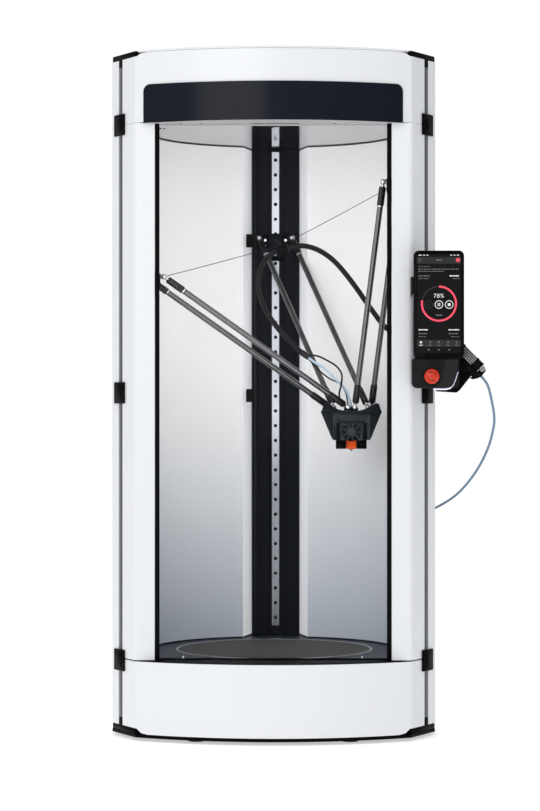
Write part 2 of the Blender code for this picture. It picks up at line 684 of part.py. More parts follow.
def main():
    for old in list(bpy.data.objects):
        bpy.data.objects.remove(old, do_unlink=True)
    looks = {
        "white": material("white", (0.85, 0.86, 0.87), 0.35),
        "liner": material("liner", (0.72, 0.73, 0.75), 0.45),
        "frame_black": material("frame_black", (0.015, 0.016, 0.018), 0.5),
        "band_black": material("band_black", (0.008, 0.009, 0.013), 0.12),
        "black_plastic": material("black_plastic", (0.02, 0.02, 0.023), 0.45),
        "deck": material("deck", (0.045, 0.06, 0.085), 0.15),
        "sheet": material("sheet", (0.09, 0.08, 0.07), 0.6),
        "aluminium": material("aluminium", (0.7, 0.71, 0.73), 0.3, 1.0),
        "bright_metal": material("bright_metal", (0.6, 0.6, 0.62), 0.12, 1.0),
        "anodised": material("anodised", (0.012, 0.014, 0.02), 0.35, 0.6),
        "steel": material("steel", (0.62, 0.63, 0.65), 0.25, 1.0),
        "motor": material("motor", (0.28, 0.28, 0.29), 0.4, 0.8),
        "carbon": material("carbon", (0.03, 0.03, 0.034), 0.3),
        "silicone": material("silicone", (0.95, 0.18, 0.03), 0.5),
        "hose": material("hose", (0.02, 0.02, 0.024), 0.7),
        "clear_tube": material("clear_tube", (0.45, 0.56, 0.66), 0.25),
        "pane": material("pane", (0.9, 0.93, 0.95), 0.02, alpha=0.15),
        "dock_grey": material("dock_grey", (0.05, 0.05, 0.055), 0.55),
        "phone": material("phone", (0.006, 0.006, 0.008), 0.08),
        "red": material("red", (0.85, 0.04, 0.015), 0.3),
        "board": material("board", (0.02, 0.16, 0.07), 0.4),
    }
    base(looks)
    top_frame(looks)
    covers(looks)
    side_panels(looks)
    columns(looks)
    chamber(looks)
    towers(looks)
    carriages(looks)
    arms(looks)
    effector(looks)
    hoses(looks)
    door(looks)
    clips(looks)
    dock(looks)
    filament_drive(looks)
    spool_mount(looks)
    electrics(looks)


main()
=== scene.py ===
import math

import bmesh
import bpy
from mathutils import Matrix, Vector


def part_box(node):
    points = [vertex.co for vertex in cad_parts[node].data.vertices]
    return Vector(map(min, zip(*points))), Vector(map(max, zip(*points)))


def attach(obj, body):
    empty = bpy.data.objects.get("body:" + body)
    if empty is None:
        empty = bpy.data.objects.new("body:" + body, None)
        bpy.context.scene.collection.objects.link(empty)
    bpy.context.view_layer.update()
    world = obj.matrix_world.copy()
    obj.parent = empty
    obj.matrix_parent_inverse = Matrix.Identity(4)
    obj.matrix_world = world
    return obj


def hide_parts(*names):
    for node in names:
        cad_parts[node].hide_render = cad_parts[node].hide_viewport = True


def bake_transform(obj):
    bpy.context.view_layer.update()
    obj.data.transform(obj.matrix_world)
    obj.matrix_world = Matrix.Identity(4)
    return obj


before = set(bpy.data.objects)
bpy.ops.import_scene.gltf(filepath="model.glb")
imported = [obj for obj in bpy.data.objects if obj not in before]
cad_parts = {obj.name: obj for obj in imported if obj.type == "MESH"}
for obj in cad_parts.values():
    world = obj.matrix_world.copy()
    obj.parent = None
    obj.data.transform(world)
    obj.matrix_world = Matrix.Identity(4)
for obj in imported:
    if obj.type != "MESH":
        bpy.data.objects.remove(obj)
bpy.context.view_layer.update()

# Sizes are in millimetres, as in the CAD; heights are measured from the bench and meshes are in metres.
MM = 0.001
BED_TOP = -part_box("base_frame")[0].z / MM
SIDE_RADIUS, SIDE_CENTRE, CORNER_FACE = 451.4, 230.0, 268.0
TOWERS = {"left": 210.0, "right": 330.0, "back": 90.0}
SEAM = {"left": -10.0, "right": 10.0, "back": 0.0}
SEAM_HALF = 7.0
CAP_INNER, CAP_HALF, CAP = 262.0, 37.0, 8.6
BASE_LOW, BASE_TOP, COVER_TOP = 5.0, 10.2, 121.5
DECK_TOP, CEILING, BAND_LOW, BAND_TOP = 123.0, 947.0, 945.2, 1004.0
LID_LOW, BODY_TOP = 1054.0, 1057.0
FRONT, DOOR_HALF = -168.5, 181.2
LINER, BACK_SLOT, FRONT_SLOT = 197.0, 16.0, 17.0
RAIL_FACE, TOWER_INNER, SHAFT = 232.0, 240.0, 73.0
CARRIAGE_JOINT, EFFECTOR_JOINT, PAIR_HALF, ARM_LENGTH, BALL = 212.0, 22.0, 27.5, 364.5, 4.5
EFFECTOR_HEIGHT, FAN_BELOW = 510.0, 38.7
EFFECTOR = Vector((123.0, 0.0, EFFECTOR_HEIGHT - BED_TOP))
PHONE_FRONT, PHONE_BACK, DOCK_FRONT, DOCK_BACK = -198.0, -189.4, -197.6, -172.0
DRIVE_FRONT = -171.4
SEALS = (("low", DECK_TOP + 0.35, DECK_TOP + 2.4), ("high", CEILING - 1.5, CEILING - 0.4))
ARC_STEPS = 40


def up(height):
    return height - BED_TOP


# ---------------------------------------------------------------- shapes

def linked(name, data):
    made = bpy.data.objects.new(name, data)
    bpy.context.collection.objects.link(made)
    return made


def add(shape, name, smooth=35.0, bevel=0.0):
    """Turn a bmesh in millimetres into an object in metres, with its edges softened by bevel mm."""
    bmesh.ops.scale(shape, vec=(MM, MM, MM), verts=shape.verts)
    bmesh.ops.recalc_face_normals(shape, faces=shape.faces)
    mesh = bpy.data.meshes.new(name)
    shape.to_mesh(mesh)
    shape.free()
    mesh.shade_smooth()
    mesh.set_sharp_from_angle(angle=math.radians(smooth))
    made = linked(name, mesh)
    if bevel:
        soften(made, bevel)
    return made


def soften(piece, width):
    step = piece.modifiers.new("soft_edges", "BEVEL")
    step.width = width * MM
    step.segments = 2
    step.limit_method = "ANGLE"
    step.angle_limit = math.radians(30)
    step.harden_normals = True


def skin(rings, name, bevel=0.0, smooth=35.0, close=False):
    """Solid through rings of points; close joins the last ring to the first instead of capping."""
    shape = bmesh.new()
    rows = [[shape.verts.new(p) for p in ring] for ring in rings]
    count = len(rows[0])
    pairs = list(zip(rows, rows[1:])) + ([(rows[-1], rows[0])] if close else [])
    for below, above in pairs:
        for i in range(count):
            j = (i + 1) % count
            shape.faces.new((below[i], below[j], above[j], above[i]))
    if not close:
        shape.faces.new(rows[0][::-1])
        shape.faces.new(rows[-1])
    return add(shape, name, smooth, bevel)


def prism(name, outline, low, high, bevel=0.0):
    """Solid with a level outline, from one height to another."""
    return skin([[(x, y, z) for x, y in outline] for z in (low, high)], name, bevel)


def upright(name, outline, front, back, bevel=0.0):
    """Solid whose outline is seen from the front, from one depth to another."""
    return skin([[(x, y, z) for x, z in outline] for y in (front, back)], name, bevel)


def lathe(name, profile, sides=32, bevel=0.0, smooth=35.0):
    """Turn a profile of (radius, height) about Z; points at radius 0 close it."""
    shape = bmesh.new()
    angles = [2 * math.pi * i / sides for i in range(sides)]
    rows = []
    for r, z in profile:
        if r < 1e-6:
            rows.append([shape.verts.new((0, 0, z))])
        else:
            rows.append([shape.verts.new((r * math.cos(a), r * math.sin(a), z)) for a in angles])
    closed = len(rows[0]) > 1
    for low, high in list(zip(rows, rows[1:])) + ([(rows[-1], rows[0])] if closed else []):
        for i in range(sides):
            j = (i + 1) % sides
            corners = [low[i % len(low)], low[j % len(low)], high[j % len(high)], high[i % len(high)]]
            unique = list(dict.fromkeys(corners))
            if len(unique) > 2:
                shape.faces.new(unique)
    return add(shape, name, smooth, bevel)


def rounded(x0, x1, y0, y1, radius, steps=6):
    """Rectangle with round corners."""
    corners = ((x1 - radius, y0 + radius, -90), (x1 - radius, y1 - radius, 0),
               (x0 + radius, y1 - radius, 90), (x0 + radius, y0 + radius, 180))
    return [p for x, y, start in corners for p in arc((x, y), radius, start, start + 90, steps)]


def rectangle(x0, x1, y0, y1):
    return [(x0, y0), (x1, y0), (x1, y1), (x0, y1)]


def arc(centre, radius, start, end, steps):
    """Points round a centre, from one angle in degrees to another."""
    angles = (math.radians(start + (end - start) * k / steps) for k in range(steps + 1))
    return [(centre[0] + radius * math.cos(a), centre[1] + radius * math.sin(a)) for a in angles]


def place(piece, location=(0, 0, 0), rotation=(0, 0, 0)):
    """Put a piece at a place in mm with a rotation in degrees."""
    piece.location = Vector(location) * MM
    piece.rotation_euler = [math.radians(a) for a in rotation]
    return piece


def joined(name, pieces, finish=None):
    """One object out of several, modifiers and places applied; finish paints those that have none."""
    for piece in pieces:
        if finish and not piece.data.materials:
            painted(piece, finish)
    bpy.context.view_layer.update()
    graph = bpy.context.evaluated_depsgraph_get()
    shape, looks = bmesh.new(), []
    for piece in pieces:
        mesh = bpy.data.meshes.new_from_object(piece.evaluated_get(graph))
        mesh.transform(piece.matrix_world)
        numbers = {}
        for i, material in enumerate(mesh.materials):
            if material not in looks:
                looks.append(material)
            numbers[i] = looks.index(material)
        for face in mesh.polygons:
            face.material_index = numbers.get(face.material_index, 0)
        shape.from_mesh(mesh)
        bpy.data.meshes.remove(mesh)
        bpy.data.objects.remove(piece)
    mesh = bpy.data.meshes.new(name)
    shape.to_mesh(mesh)
    shape.free()
    for material in looks:
        mesh.materials.append(material)
    mesh.set_sharp_from_angle(angle=math.radians(35))
    return linked(name, mesh)


def painted(piece, finish):
    piece.data.materials.clear()
    piece.data.materials.append(LOOKS[finish])
    return piece


def fit(piece, body="body", finish=None, stands_for=()):
    """Give a piece its finish, its body and the CAD nodes that it replaces."""
    if finish:
        painted(piece, finish)
    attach(piece, body)
    if stands_for:
        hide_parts(*stands_for)
    return piece


def cut(piece, tool):
    """Subtract a tool from a piece's mesh, and remove the tool."""
    step = piece.modifiers.new("cut", "BOOLEAN")
    step.operation = "DIFFERENCE"
    step.object = tool
    bpy.context.view_layer.update()
    graph = bpy.context.evaluated_depsgraph_get()
    mesh = bpy.data.meshes.new_from_object(piece.evaluated_get(graph))
    piece.modifiers.clear()
    piece.data = mesh
    bpy.data.objects.remove(tool)
    mesh.set_sharp_from_angle(angle=math.radians(35))
    return piece


# ---------------------------------------------------------------- plan of the body

def radial(angle, out, along=0.0, height=0.0):
    """Point at a distance out from the axis at an angle, and along to its left."""
    a = math.radians(angle)
    return Vector((out * math.cos(a) - along * math.sin(a), out * math.sin(a) + along * math.cos(a),
                   height))


def on_corner(side, along):
    return tuple(radial(TOWERS[side], CORNER_FACE, along).xy)


def side_arc(after_angle, inset=0.0, corner=CORNER_FACE):
    """One bulging side of the plan, between the flats in front of two towers."""
    reach = SIDE_RADIUS - inset
    half = math.sqrt(reach**2 - (corner + SIDE_CENTRE / 2)**2) - SIDE_CENTRE * math.sqrt(0.75)
    centre = radial(after_angle + 240, SIDE_CENTRE)
    first = radial(after_angle, corner, half) - centre
    last = radial(after_angle + 120, corner, -half) - centre
    sweep = first.xy.angle_signed(last.xy) * -1
    start = math.atan2(first.y, first.x)
    angles = [start + sweep * i / ARC_STEPS for i in range(ARC_STEPS + 1)]
    return [(centre.x + reach * math.cos(a), centre.y + reach * math.sin(a)) for a in angles]


def body_outline(inset, corner):
    return [p for angle in (90, 210, 330) for p in side_arc(angle, inset, corner)]


def clipped(outline, front):
    """The part of an outline behind a straight front edge."""
    kept = []
    for a, b in zip(outline, outline[1:] + outline[:1]):
        if a[1] >= front:
            kept.append(a)
        if (a[1] >= front) != (b[1] >= front):
            k = (front - a[1]) / (b[1] - a[1])
            kept.append((a[0] + k * (b[0] - a[0]), front))
    return kept


def eased(path, radius=7.0, steps=8, margin=0.8):
    """Path with its bends rounded; a point beside each bend keeps its shading off the flat stretches."""
    points = [Vector(p) for p in path]
    result = [points[0]]
    for before, here, after in zip(points, points[1:], points[2:]):
        inward, outward = (here - before).normalized(), (after - here).normalized()
        bend = inward.angle(outward)
        if bend < math.radians(15):
            result.append(here)
            continue
        back = radius * math.tan(bend / 2)
        centre = here + (outward - inward).normalized() * radius / math.cos(bend / 2)
        start = here - inward * back - centre
        first, side = math.atan2(start.y, start.x), math.copysign(bend, inward.cross(outward))
        result.append(here - inward * (back + margin))
        for i in range(steps + 1):
            a = first + side * i / steps
            result.append(centre + Vector((math.cos(a), math.sin(a))) * radius)
        result.append(here + outward * (back + margin))
    return result + [points[-1]]


def wall(name, path, low, high, thickness=3.0, bevel=0.5):
    """Panel along a path; low and high each give an edge's height on the sides and at the corner caps."""
    path = [Vector(p) for p in path]
    step_start, step_length = CAP_INNER - 1.5, 5.0
    rings = []
    for i, here in enumerate(path):
        before = (here - path[i - 1]).normalized() if i else (path[1] - here).normalized()
        after = (path[i + 1] - here).normalized() if i + 1 < len(path) else before
        middle = (before + after).normalized()
        inner = here + Vector((-middle.y, middle.x)) * thickness / max(middle.dot(before), 0.5)
        apothem = max(here.dot(radial(a, 1).xy) for a in TOWERS.values())
        share = min(1.0, max(0.0, (apothem - step_start) / step_length))
        step = share * share * (3 - 2 * share)
        bottom, top = (edge[0] + (edge[1] - edge[0]) * step for edge in (low, high))
        rings.append([(here.x, here.y, bottom), (here.x, here.y, top),
                      (inner.x, inner.y, top), (inner.x, inner.y, bottom)])
    return skin(rings, name, bevel)


def level(height):
    """An edge of a wall that stays at one height above the bench all along."""
    return (up(height), up(height))


# ---------------------------------------------------------------- materials

def connect(tree, socket, value):
    """Link a socket to another, or set its value."""
    if isinstance(value, bpy.types.NodeSocket):
        tree.links.new(value, socket)
    else:
        socket.default_value = value


def node(tree, kind, inputs=None, **settings):
    """New shader node with its settings and inputs; an input is a value, or a socket to link."""
    made = tree.nodes.new("ShaderNode" + kind)
    for name, value in settings.items():
        setattr(made, name, value)
    for name, value in (inputs or {}).items():
        connect(tree, made.inputs[name], value)
    return made


def shade_range(tree, amount, colour, tone, low=0.0, high=1.0):
    """Colour that runs from a darker to a lighter tone of itself as amount goes from low to high."""
    ramp = node(tree, "ValToRGB", {"Fac": amount})
    for element, at, share in zip(ramp.color_ramp.elements, (low, high), (1 - tone, 1 + tone)):
        element.position = at
        element.color = (*[min(1.0, c * share) for c in colour], 1)
    return ramp.outputs["Color"]


def look(name, colour, rough, metallic=0.0, tone=0.08, scale=300.0, stretch=(1, 1, 1), rough_range=0.08,
         bump=3e-5, bump_scale=2500.0, coat=0.0, alpha=1.0, specular=0.5, cloud=9.0):
    """Procedural finish: cloudy and fine colour variation, uneven gloss and a fine surface grain."""
    made = bpy.data.materials.new(name)
    made.use_nodes = True
    tree = made.node_tree
    position = node(tree, "TexCoord").outputs["Object"]
    mapping = node(tree, "Mapping", {"Scale": stretch, "Vector": position})

    def noise(size, detail):
        inputs = {"Scale": size, "Detail": detail, "Vector": mapping.outputs["Vector"]}
        return node(tree, "TexNoise", inputs).outputs["Fac"]

    cloud_share, fine_share, low, high = 0.6, 0.4, 0.3, 0.7
    fine = node(tree, "Math", {0: noise(scale, 3.0), 1: fine_share}, operation="MULTIPLY")
    both = node(tree, "Math", {0: noise(cloud, 4.0), 1: cloud_share, 2: fine.outputs[0]},
                operation="MULTIPLY_ADD").outputs[0]
    gloss = node(tree, "MapRange", {"From Min": low, "From Max": high, "Value": both,
                                    "To Min": max(0.01, rough - rough_range),
                                    "To Max": min(1.0, rough + rough_range)})
    values = {"Metallic": metallic, "Coat Weight": coat, "Coat Roughness": 0.08, "Alpha": alpha,
              "Specular IOR Level": specular, "Roughness": gloss.outputs["Result"],
              "Base Color": shade_range(tree, both, colour, tone, low, high)}
    if bump:
        raised = node(tree, "Bump", {"Strength": 1.0, "Distance": bump, "Height": noise(bump_scale, 2.0)})
        values["Normal"] = raised.outputs["Normal"]
    for label, value in values.items():
        connect(tree, tree.nodes["Principled BSDF"].inputs[label], value)
    return made


def weave(name, colour, rough, around, along, depth, tone=0.5):
    """Braid on a tube whose UV runs once round and in millimetres along it; its colour is darker between
    the strands and lighter on them, painted shade in the grooves.
    """
    made = look(name, colour, rough, bump=0, specular=0.12)
    tree = made.node_tree
    uv = node(tree, "UVMap", uv_map="UVMap").outputs["UV"]
    heights = {}
    for i, turn_sign in enumerate((1, -1)):
        mapping = node(tree, "Mapping", {"Scale": (around * turn_sign, along, 1), "Vector": uv})
        wave = node(tree, "TexWave", {"Scale": 1.0, "Vector": mapping.outputs["Vector"]},
                    wave_type="BANDS", bands_direction="DIAGONAL")
        heights[i] = wave.outputs["Fac"]
    top = node(tree, "Math", heights, operation="MAXIMUM").outputs[0]
    raised = node(tree, "Bump", {"Distance": depth, "Height": top})
    shader = tree.nodes["Principled BSDF"]
    # The colour follows the weave's height: painted shade in the grooves.
    connect(tree, shader.inputs["Base Color"], shade_range(tree, top, colour, tone))
    connect(tree, shader.inputs["Normal"], raised.outputs["Normal"])
    return made


def glow(material, colour, strength):
    """Give a finish a weak emission of its own."""
    shader = material.node_tree.nodes["Principled BSDF"]
    shader.inputs["Emission Color"].default_value = (*colour, 1)
    shader.inputs["Emission Strength"].default_value = strength
    return material


def glowing(name, colour, strength, rough=0.3):
    return glow(look(name, colour, rough, bump=0, tone=0.03, specular=0.1), colour, strength)


def make_looks():
    """Every finish by its short name; the name in quotes after it is the material's own."""
    looks = {
        "white": look("white_powder_coat", (0.80, 0.81, 0.83), 0.34, tone=0.015, bump=6e-5, bump_scale=900,
                      cloud=3, coat=0.15),
        "liner": look("liner_paint", (0.83, 0.83, 0.833), 0.42, tone=0.02, bump=5e-5, bump_scale=1100,
                      cloud=3),
        # A grey with a weak glow for the flanges: painted light that lifts their shade.
        "flange": glowing("flange_painted_glow", (0.72, 0.73, 0.75), 0.5, 0.45),
        # A grey with a glow for the soffit and the door's top bar: painted light.
        "satin": glowing("satin_plate_painted_glow", (0.33, 0.33, 0.335), 0.38, 0.5),
        "black_paint": look("black_paint", (0.003, 0.003, 0.0035), 0.42, specular=0.03, bump=5e-5,
                            bump_scale=1200),
        "jet": look("jet_black", (0.002, 0.002, 0.0025), 0.5, specular=0.05, bump=2e-5, bump_scale=1200),
        "band": look("gloss_black", (0.006, 0.008, 0.014), 0.16, rough_range=0.04, bump=4e-6,
                     specular=0.13),
        "plastic": look("moulded_black", (0.003, 0.003, 0.0035), 0.42, specular=0.03, bump=4e-5,
                        bump_scale=2200, tone=0.15),
        # A lighter copy of the charcoal print for the funnel, fan plate and rotor: painted highlight.
        "charcoal_lit": look("charcoal_print_painted_highlight", (0.013, 0.016, 0.021), 0.38, specular=0.16, bump=6e-5,
                         bump_scale=3500, stretch=(1, 1, 3), tone=0.15),
        "charcoal": look("charcoal_print", (0.006, 0.0075, 0.010), 0.4, specular=0.06, bump=6e-5,
                         bump_scale=3500, stretch=(1, 1, 3), tone=0.15),
        "deck": look("deck_glass", (0.02, 0.025, 0.035), 0.34, rough_range=0.06, bump=1e-5, specular=0.1),
        "sheet": look("textured_sheet", (0.075, 0.07, 0.064), 0.62, tone=0.4, scale=2600, bump=0.00012,
                      bump_scale=3000, specular=0.15),
        "aluminium": look("aluminium", (0.66, 0.67, 0.69), 0.3, 1.0, stretch=(1, 1, 20)),
        "mirror": look("polished_plate", (0.33, 0.33, 0.335), 0.09, 1.0, tone=0.03, rough_range=0.03,
                       stretch=(30, 1, 1), bump=6e-6, bump_scale=500),
        "anodised": look("black_anodised", (0.003, 0.0042, 0.007), 0.3, 0.0, stretch=(8, 8, 0.05),
                         scale=120, tone=0.6, bump=1.2e-5, bump_scale=300, rough_range=0.07,
                         specular=0.045),
        "steel": look("ground_steel", (0.62, 0.63, 0.65), 0.22, 1.0, stretch=(20, 20, 1), scale=200,
                      bump=1e-5, bump_scale=500),
        "rail": look("rail_steel", (0.31, 0.32, 0.35), 0.3, 1.0, stretch=(20, 20, 1), scale=200, bump=1e-5,
                     bump_scale=500, tone=0.2),
        "chrome": look("chrome", (0.42, 0.42, 0.43), 0.14, 1.0, bump=0, tone=0.02, rough_range=0.03),
        "motor": look("motor_laminate", (0.30, 0.30, 0.30), 0.36, 0.8, scale=900, tone=0.2),
        "sleeve": look("arm_sleeve", (0.005, 0.005, 0.006), 0.26, specular=0.2, bump=4e-5, bump_scale=800),
        # Orange with a small glow for the sock: painted light that brightens it beyond its colour.
        "silicone": glowing("orange_silicone_painted_glow", (0.95, 0.115, 0.02), 0.18, 0.5),
        "dock": look("dock_plastic", (0.010, 0.010, 0.011), 0.48, specular=0.08, tone=0.12, bump=8e-5,
                     bump_scale=2600),
        "dock_side": look("dock_side_plastic", (0.018, 0.018, 0.019), 0.5, specular=0.1, tone=0.12,
                          bump=8e-5, bump_scale=2600),
        "screen": look("phone_glass", (0.0015, 0.0015, 0.002), 0.05, bump=0, rough_range=0.02,
                       specular=0.04),
        "rim": look("phone_rim", (0.005, 0.005, 0.006), 0.3, 0.2, bump=1e-5, specular=0.12),
        "red": look("red_button", (0.60, 0.033, 0.008), 0.3, tone=0.08, bump=2e-5, coat=0.15,
                    specular=0.3),
        "dark_red": look("dark_red_mark", (0.16, 0.008, 0.004), 0.4, tone=0.08, bump=2e-5, specular=0.2),
        "board": look("circuit_board", (0.01, 0.09, 0.035), 0.35, tone=0.5, scale=140),
        "tube": look("clear_tube", (0.36, 0.46, 0.56), 0.22, tone=0.1, scale=60, bump=1e-5, alpha=0.92),
        "free_tube": look("steel_blue_tube", (0.15, 0.235, 0.33), 0.25, tone=0.12, scale=60, bump=1e-5),
        "pane": look("clear_pane", (0.01, 0.012, 0.014), 0.03, tone=0.01, rough_range=0.01, bump=0,
                     alpha=0.04),
        "rubber": look("rubber", (0.006, 0.006, 0.007), 0.6, specular=0.15, bump=6e-5, bump_scale=1500),
        "seam": look("seam_strip", (0.13, 0.13, 0.14), 0.4, stretch=(8, 8, 0.5), scale=200),
        # Near black for holes, grooves, slits and some screws: painted shade where no light reaches.
        "hole": look("painted_hole_shade", (0.0015, 0.0015, 0.002), 0.7, bump=2e-5, specular=0.04),
        "braid": weave("braided_hose", (0.011, 0.011, 0.012), 0.6, 3.2, 0.5, 0.0004),
        "carbon": look("carbon_tube", (0.016, 0.017, 0.019), 0.26, tone=0.35, scale=500,
                       stretch=(1, 1, 0.1), bump=1e-5, bump_scale=1500, coat=0.8, specular=0.5),
        "ui_back": glowing("ui_back", (0.004, 0.004, 0.004), 0.3),
        "ui_bar": glowing("ui_bar", (0.022, 0.022, 0.023), 0.4),
        "ui_dim": glowing("ui_dim", (0.10, 0.10, 0.10), 0.7),
        # The screen's white glow, also used as painted highlights on the deck screws.
        "ui_white": glowing("ui_white", (0.62, 0.62, 0.62), 0.4),
        "ui_pink": glowing("ui_pink", (0.88, 0.085, 0.14), 0.15),
        "light_strip": glowing("light_strip", (0.80, 0.79, 0.97), 0.5),
    }
    # The liner is painted darker and bluer near the bed: painted shade at the foot of the chamber.
    paint_shade_low(looks["liner"], (0.84, 0.91, 1.0), 0.35)
    return looks


def paint_shade_low(material, colour, height):
    """Painted shade: darken and blue a finish near the bed, where less light reaches, fading out at a
    height in metres above it.
    """
    tree = material.node_tree
    base = tree.nodes["Principled BSDF"].inputs["Base Color"]
    axes = node(tree, "SeparateXYZ", {"Vector": node(tree, "TexCoord").outputs["Object"]})
    fade = node(tree, "MapRange", {"From Max": height, "To Min": 1.0, "To Max": 0.0,
                                   "Value": axes.outputs["Z"]})
    blend = node(tree, "MixRGB", {"Fac": fade.outputs["Result"], "Color1": base.links[0].from_socket,
                                  "Color2": (*colour, 1)}, blend_type="MULTIPLY")
    connect(tree, base, blend.outputs["Color"])


LOOKS = make_looks()


# ---------------------------------------------------------------- tubes

def smooth_route(route, spacing):
    """Smooth curve through a route's points, with a point about every spacing mm."""
    points = [Vector(p) for p in route]
    padded = [2 * points[0] - points[1], *points, 2 * points[-1] - points[-2]]
    result = []
    for a, b, c, d in zip(padded, padded[1:], padded[2:], padded[3:]):
        steps = max(1, round((c - b).length / spacing))
        for i in range(steps):
            k = i / steps
            result.append(b + 0.5 * k * ((c - a) + k * (2 * a - 5 * b + 4 * c - d
                                                        + k * (3 * b - a - 3 * c + d))))
    return result + [points[-1]]


def hose(name, points, radius, sides=16, radii=None):
    """Tube mesh with flat ends and UVs: once round, and millimetres along."""
    shape = bmesh.new()
    uv = shape.loops.layers.uv.new("UVMap")
    side = (points[1] - points[0]).orthogonal().normalized()
    rows, lengths, walked = [], [], 0.0
    for i, here in enumerate(points):
        run = (points[min(i + 1, len(points) - 1)] - points[max(i - 1, 0)]).normalized()
        side = (side - run * side.dot(run)).normalized()
        other = run.cross(side)
        r = radii[i] if radii else radius
        rows.append([shape.verts.new(here + (side * math.cos(a) + other * math.sin(a)) * r)
                     for a in (2 * math.pi * k / sides for k in range(sides))])
        walked += (here - points[i - 1]).length if i else 0
        lengths.append(walked)
    for i in range(len(rows) - 1):
        for k in range(sides):
            j = (k + 1) % sides
            face = shape.faces.new((rows[i][k], rows[i][j], rows[i + 1][j], rows[i + 1][k]))
            marks = ((k, i), (k + 1, i), (k + 1, i + 1), (k, i + 1))
            for loop, (around, along) in zip(face.loops, marks):
                loop[uv].uv = (around / sides * 8, lengths[along])
    shape.faces.new(rows[0][::-1])
    shape.faces.new(rows[-1])
    return add(shape, name, 50)


def above_bench(route):
    return [(x, y, up(z)) for x, y, z in route]


def raised(outline):
    return [(x, up(z)) for x, z in outline]


# ---------------------------------------------------------------- camera and free cord

def make_camera():
    """Level view from the front, a little above half height, fitted to the photograph's framing."""
    data = bpy.data.cameras.new("camera")
    data.sensor_width = 36
    data.lens = 108.4
    data.shift_x = -0.0052
    data.shift_y = -0.0068
    data.clip_end = 50
    camera = linked("camera", data)
    sideways, distance = 0.0372, 3.907
    camera.location = (sideways, -distance, up(522) * MM)
    camera.rotation_euler = (math.radians(90), 0, math.atan2(sideways, distance))
    bpy.context.scene.camera = camera


FILAMENT_ROUTE = [(313.9, -158, 565.4), (319.5, -158, 557.8), (328, -160, 546.5), (333.6, -156, 528.9),
                  (339.9, -146, 497.4), (339.2, -130, 474.1), (331.8, -100, 441.6), (314.8, -62, 404.5),
                  (290, -10, 370.4), (259.7, 45, 347.2), (240, 88, 338.5), (225, 122.3, 337)]


def make_filament_tube():
    points = smooth_route(above_bench(FILAMENT_ROUTE), 8)
    piece = hose("filament_tube_line", points, 2.0, 12)
    fit(piece, finish="free_tube", stands_for=["filament_tube"])


# ---------------------------------------------------------------- outer body

def front_path():
    return eased([on_corner("left", SEAM["left"] + SEAM_HALF), *side_arc(210),
                  on_corner("right", SEAM["right"] - SEAM_HALF)])


def front_curve(reach, angle):
    """Point of the front's curve at a distance from its centre, an angle in radians from the middle."""
    return (reach * math.sin(angle), SIDE_CENTRE - reach * math.cos(angle))


def make_shell():
    low_edge = (up(BASE_TOP + 0.3), up(BASE_TOP + CAP + 0.3))
    high_edge = (up(LID_LOW - 0.3), up(BODY_TOP - CAP - 0.3))
    seam, half, edge = SEAM["right"], SEAM_HALF, DOOR_HALF + 0.3
    corner = side_arc(210)[0]
    left = eased([on_corner("left", SEAM["left"] + half), corner, (-edge, corner[1])], 9)
    right = [Vector((-p[0], p[1])) for p in reversed(left)]
    side_right = eased([on_corner("right", seam + half), *side_arc(330), on_corner("back", -half)])
    side_left = eased([on_corner("back", half), *side_arc(90), on_corner("left", -seam - half)])
    column_low, column_high = level(DECK_TOP + 0.3), level(CEILING - 0.3)
    panels = (
        ("lower_cover", front_path(), low_edge, level(COVER_TOP)),
        ("upper_cover", front_path(), level(CEILING), high_edge),
        ("side_panel_right", side_right, low_edge, high_edge),
        ("side_panel_left", side_left, low_edge, high_edge),
        ("column_left", left, column_low, column_high),
        ("column_right", right, column_low, column_high),
    )
    for node_name, path, low, high in panels:
        panel = wall(f"{node_name}_shell", path, low, high)
        fit(panel, finish="white", stands_for=[node_name])
    lid = prism("upper_cover_lid", body_outline(0, CAP_INNER - 0.3), up(LID_LOW), up(BODY_TOP), 1.2)
    fit(lid, finish="white", stands_for=["upper_cover"])


def make_band():
    """Black band whose ends curve in at the top, and the soffit behind it, bright from a painted glow."""
    reach, half_width, corner, depth = SIDE_RADIUS + 0.8, 198, 11.0, 1.0
    half = math.asin(half_width / reach)
    tips = [half - corner / reach * (1 - math.sin(math.pi / 2 * k / 8)) for k in range(9)]
    middle = [tips[0] * (i / 20 - 1) for i in range(1, 40)]
    angles = [-a for a in reversed(tips)] + middle + tips
    rings = []
    for a in angles:
        x, y = front_curve(reach, a)
        out_x, out_y = x + depth * math.sin(a), y - depth * math.cos(a)
        into_corner = max(0.0, corner - (half - abs(a)) * reach)
        low = up(BAND_LOW)
        top = up(BAND_TOP) - corner + math.sqrt(max(0.0, corner**2 - into_corner**2))
        rings.append([(x, y, low), (x, y, top), (out_x, out_y, top), (out_x, out_y, low)])
    fit(skin(rings, "upper_band_face", 0.35), finish="band", stands_for=["upper_band"])
    outline = [front_curve(reach, a) for a in angles]
    outline += [(outline[-1][0], FRONT - 1.5), (outline[0][0], FRONT - 1.5)]
    soffit = prism("upper_band_soffit", outline, up(BAND_LOW + 0.1), up(CEILING - 0.3), 0.3)
    # The soffit's finish glows: painted light.
    fit(soffit, finish="satin")


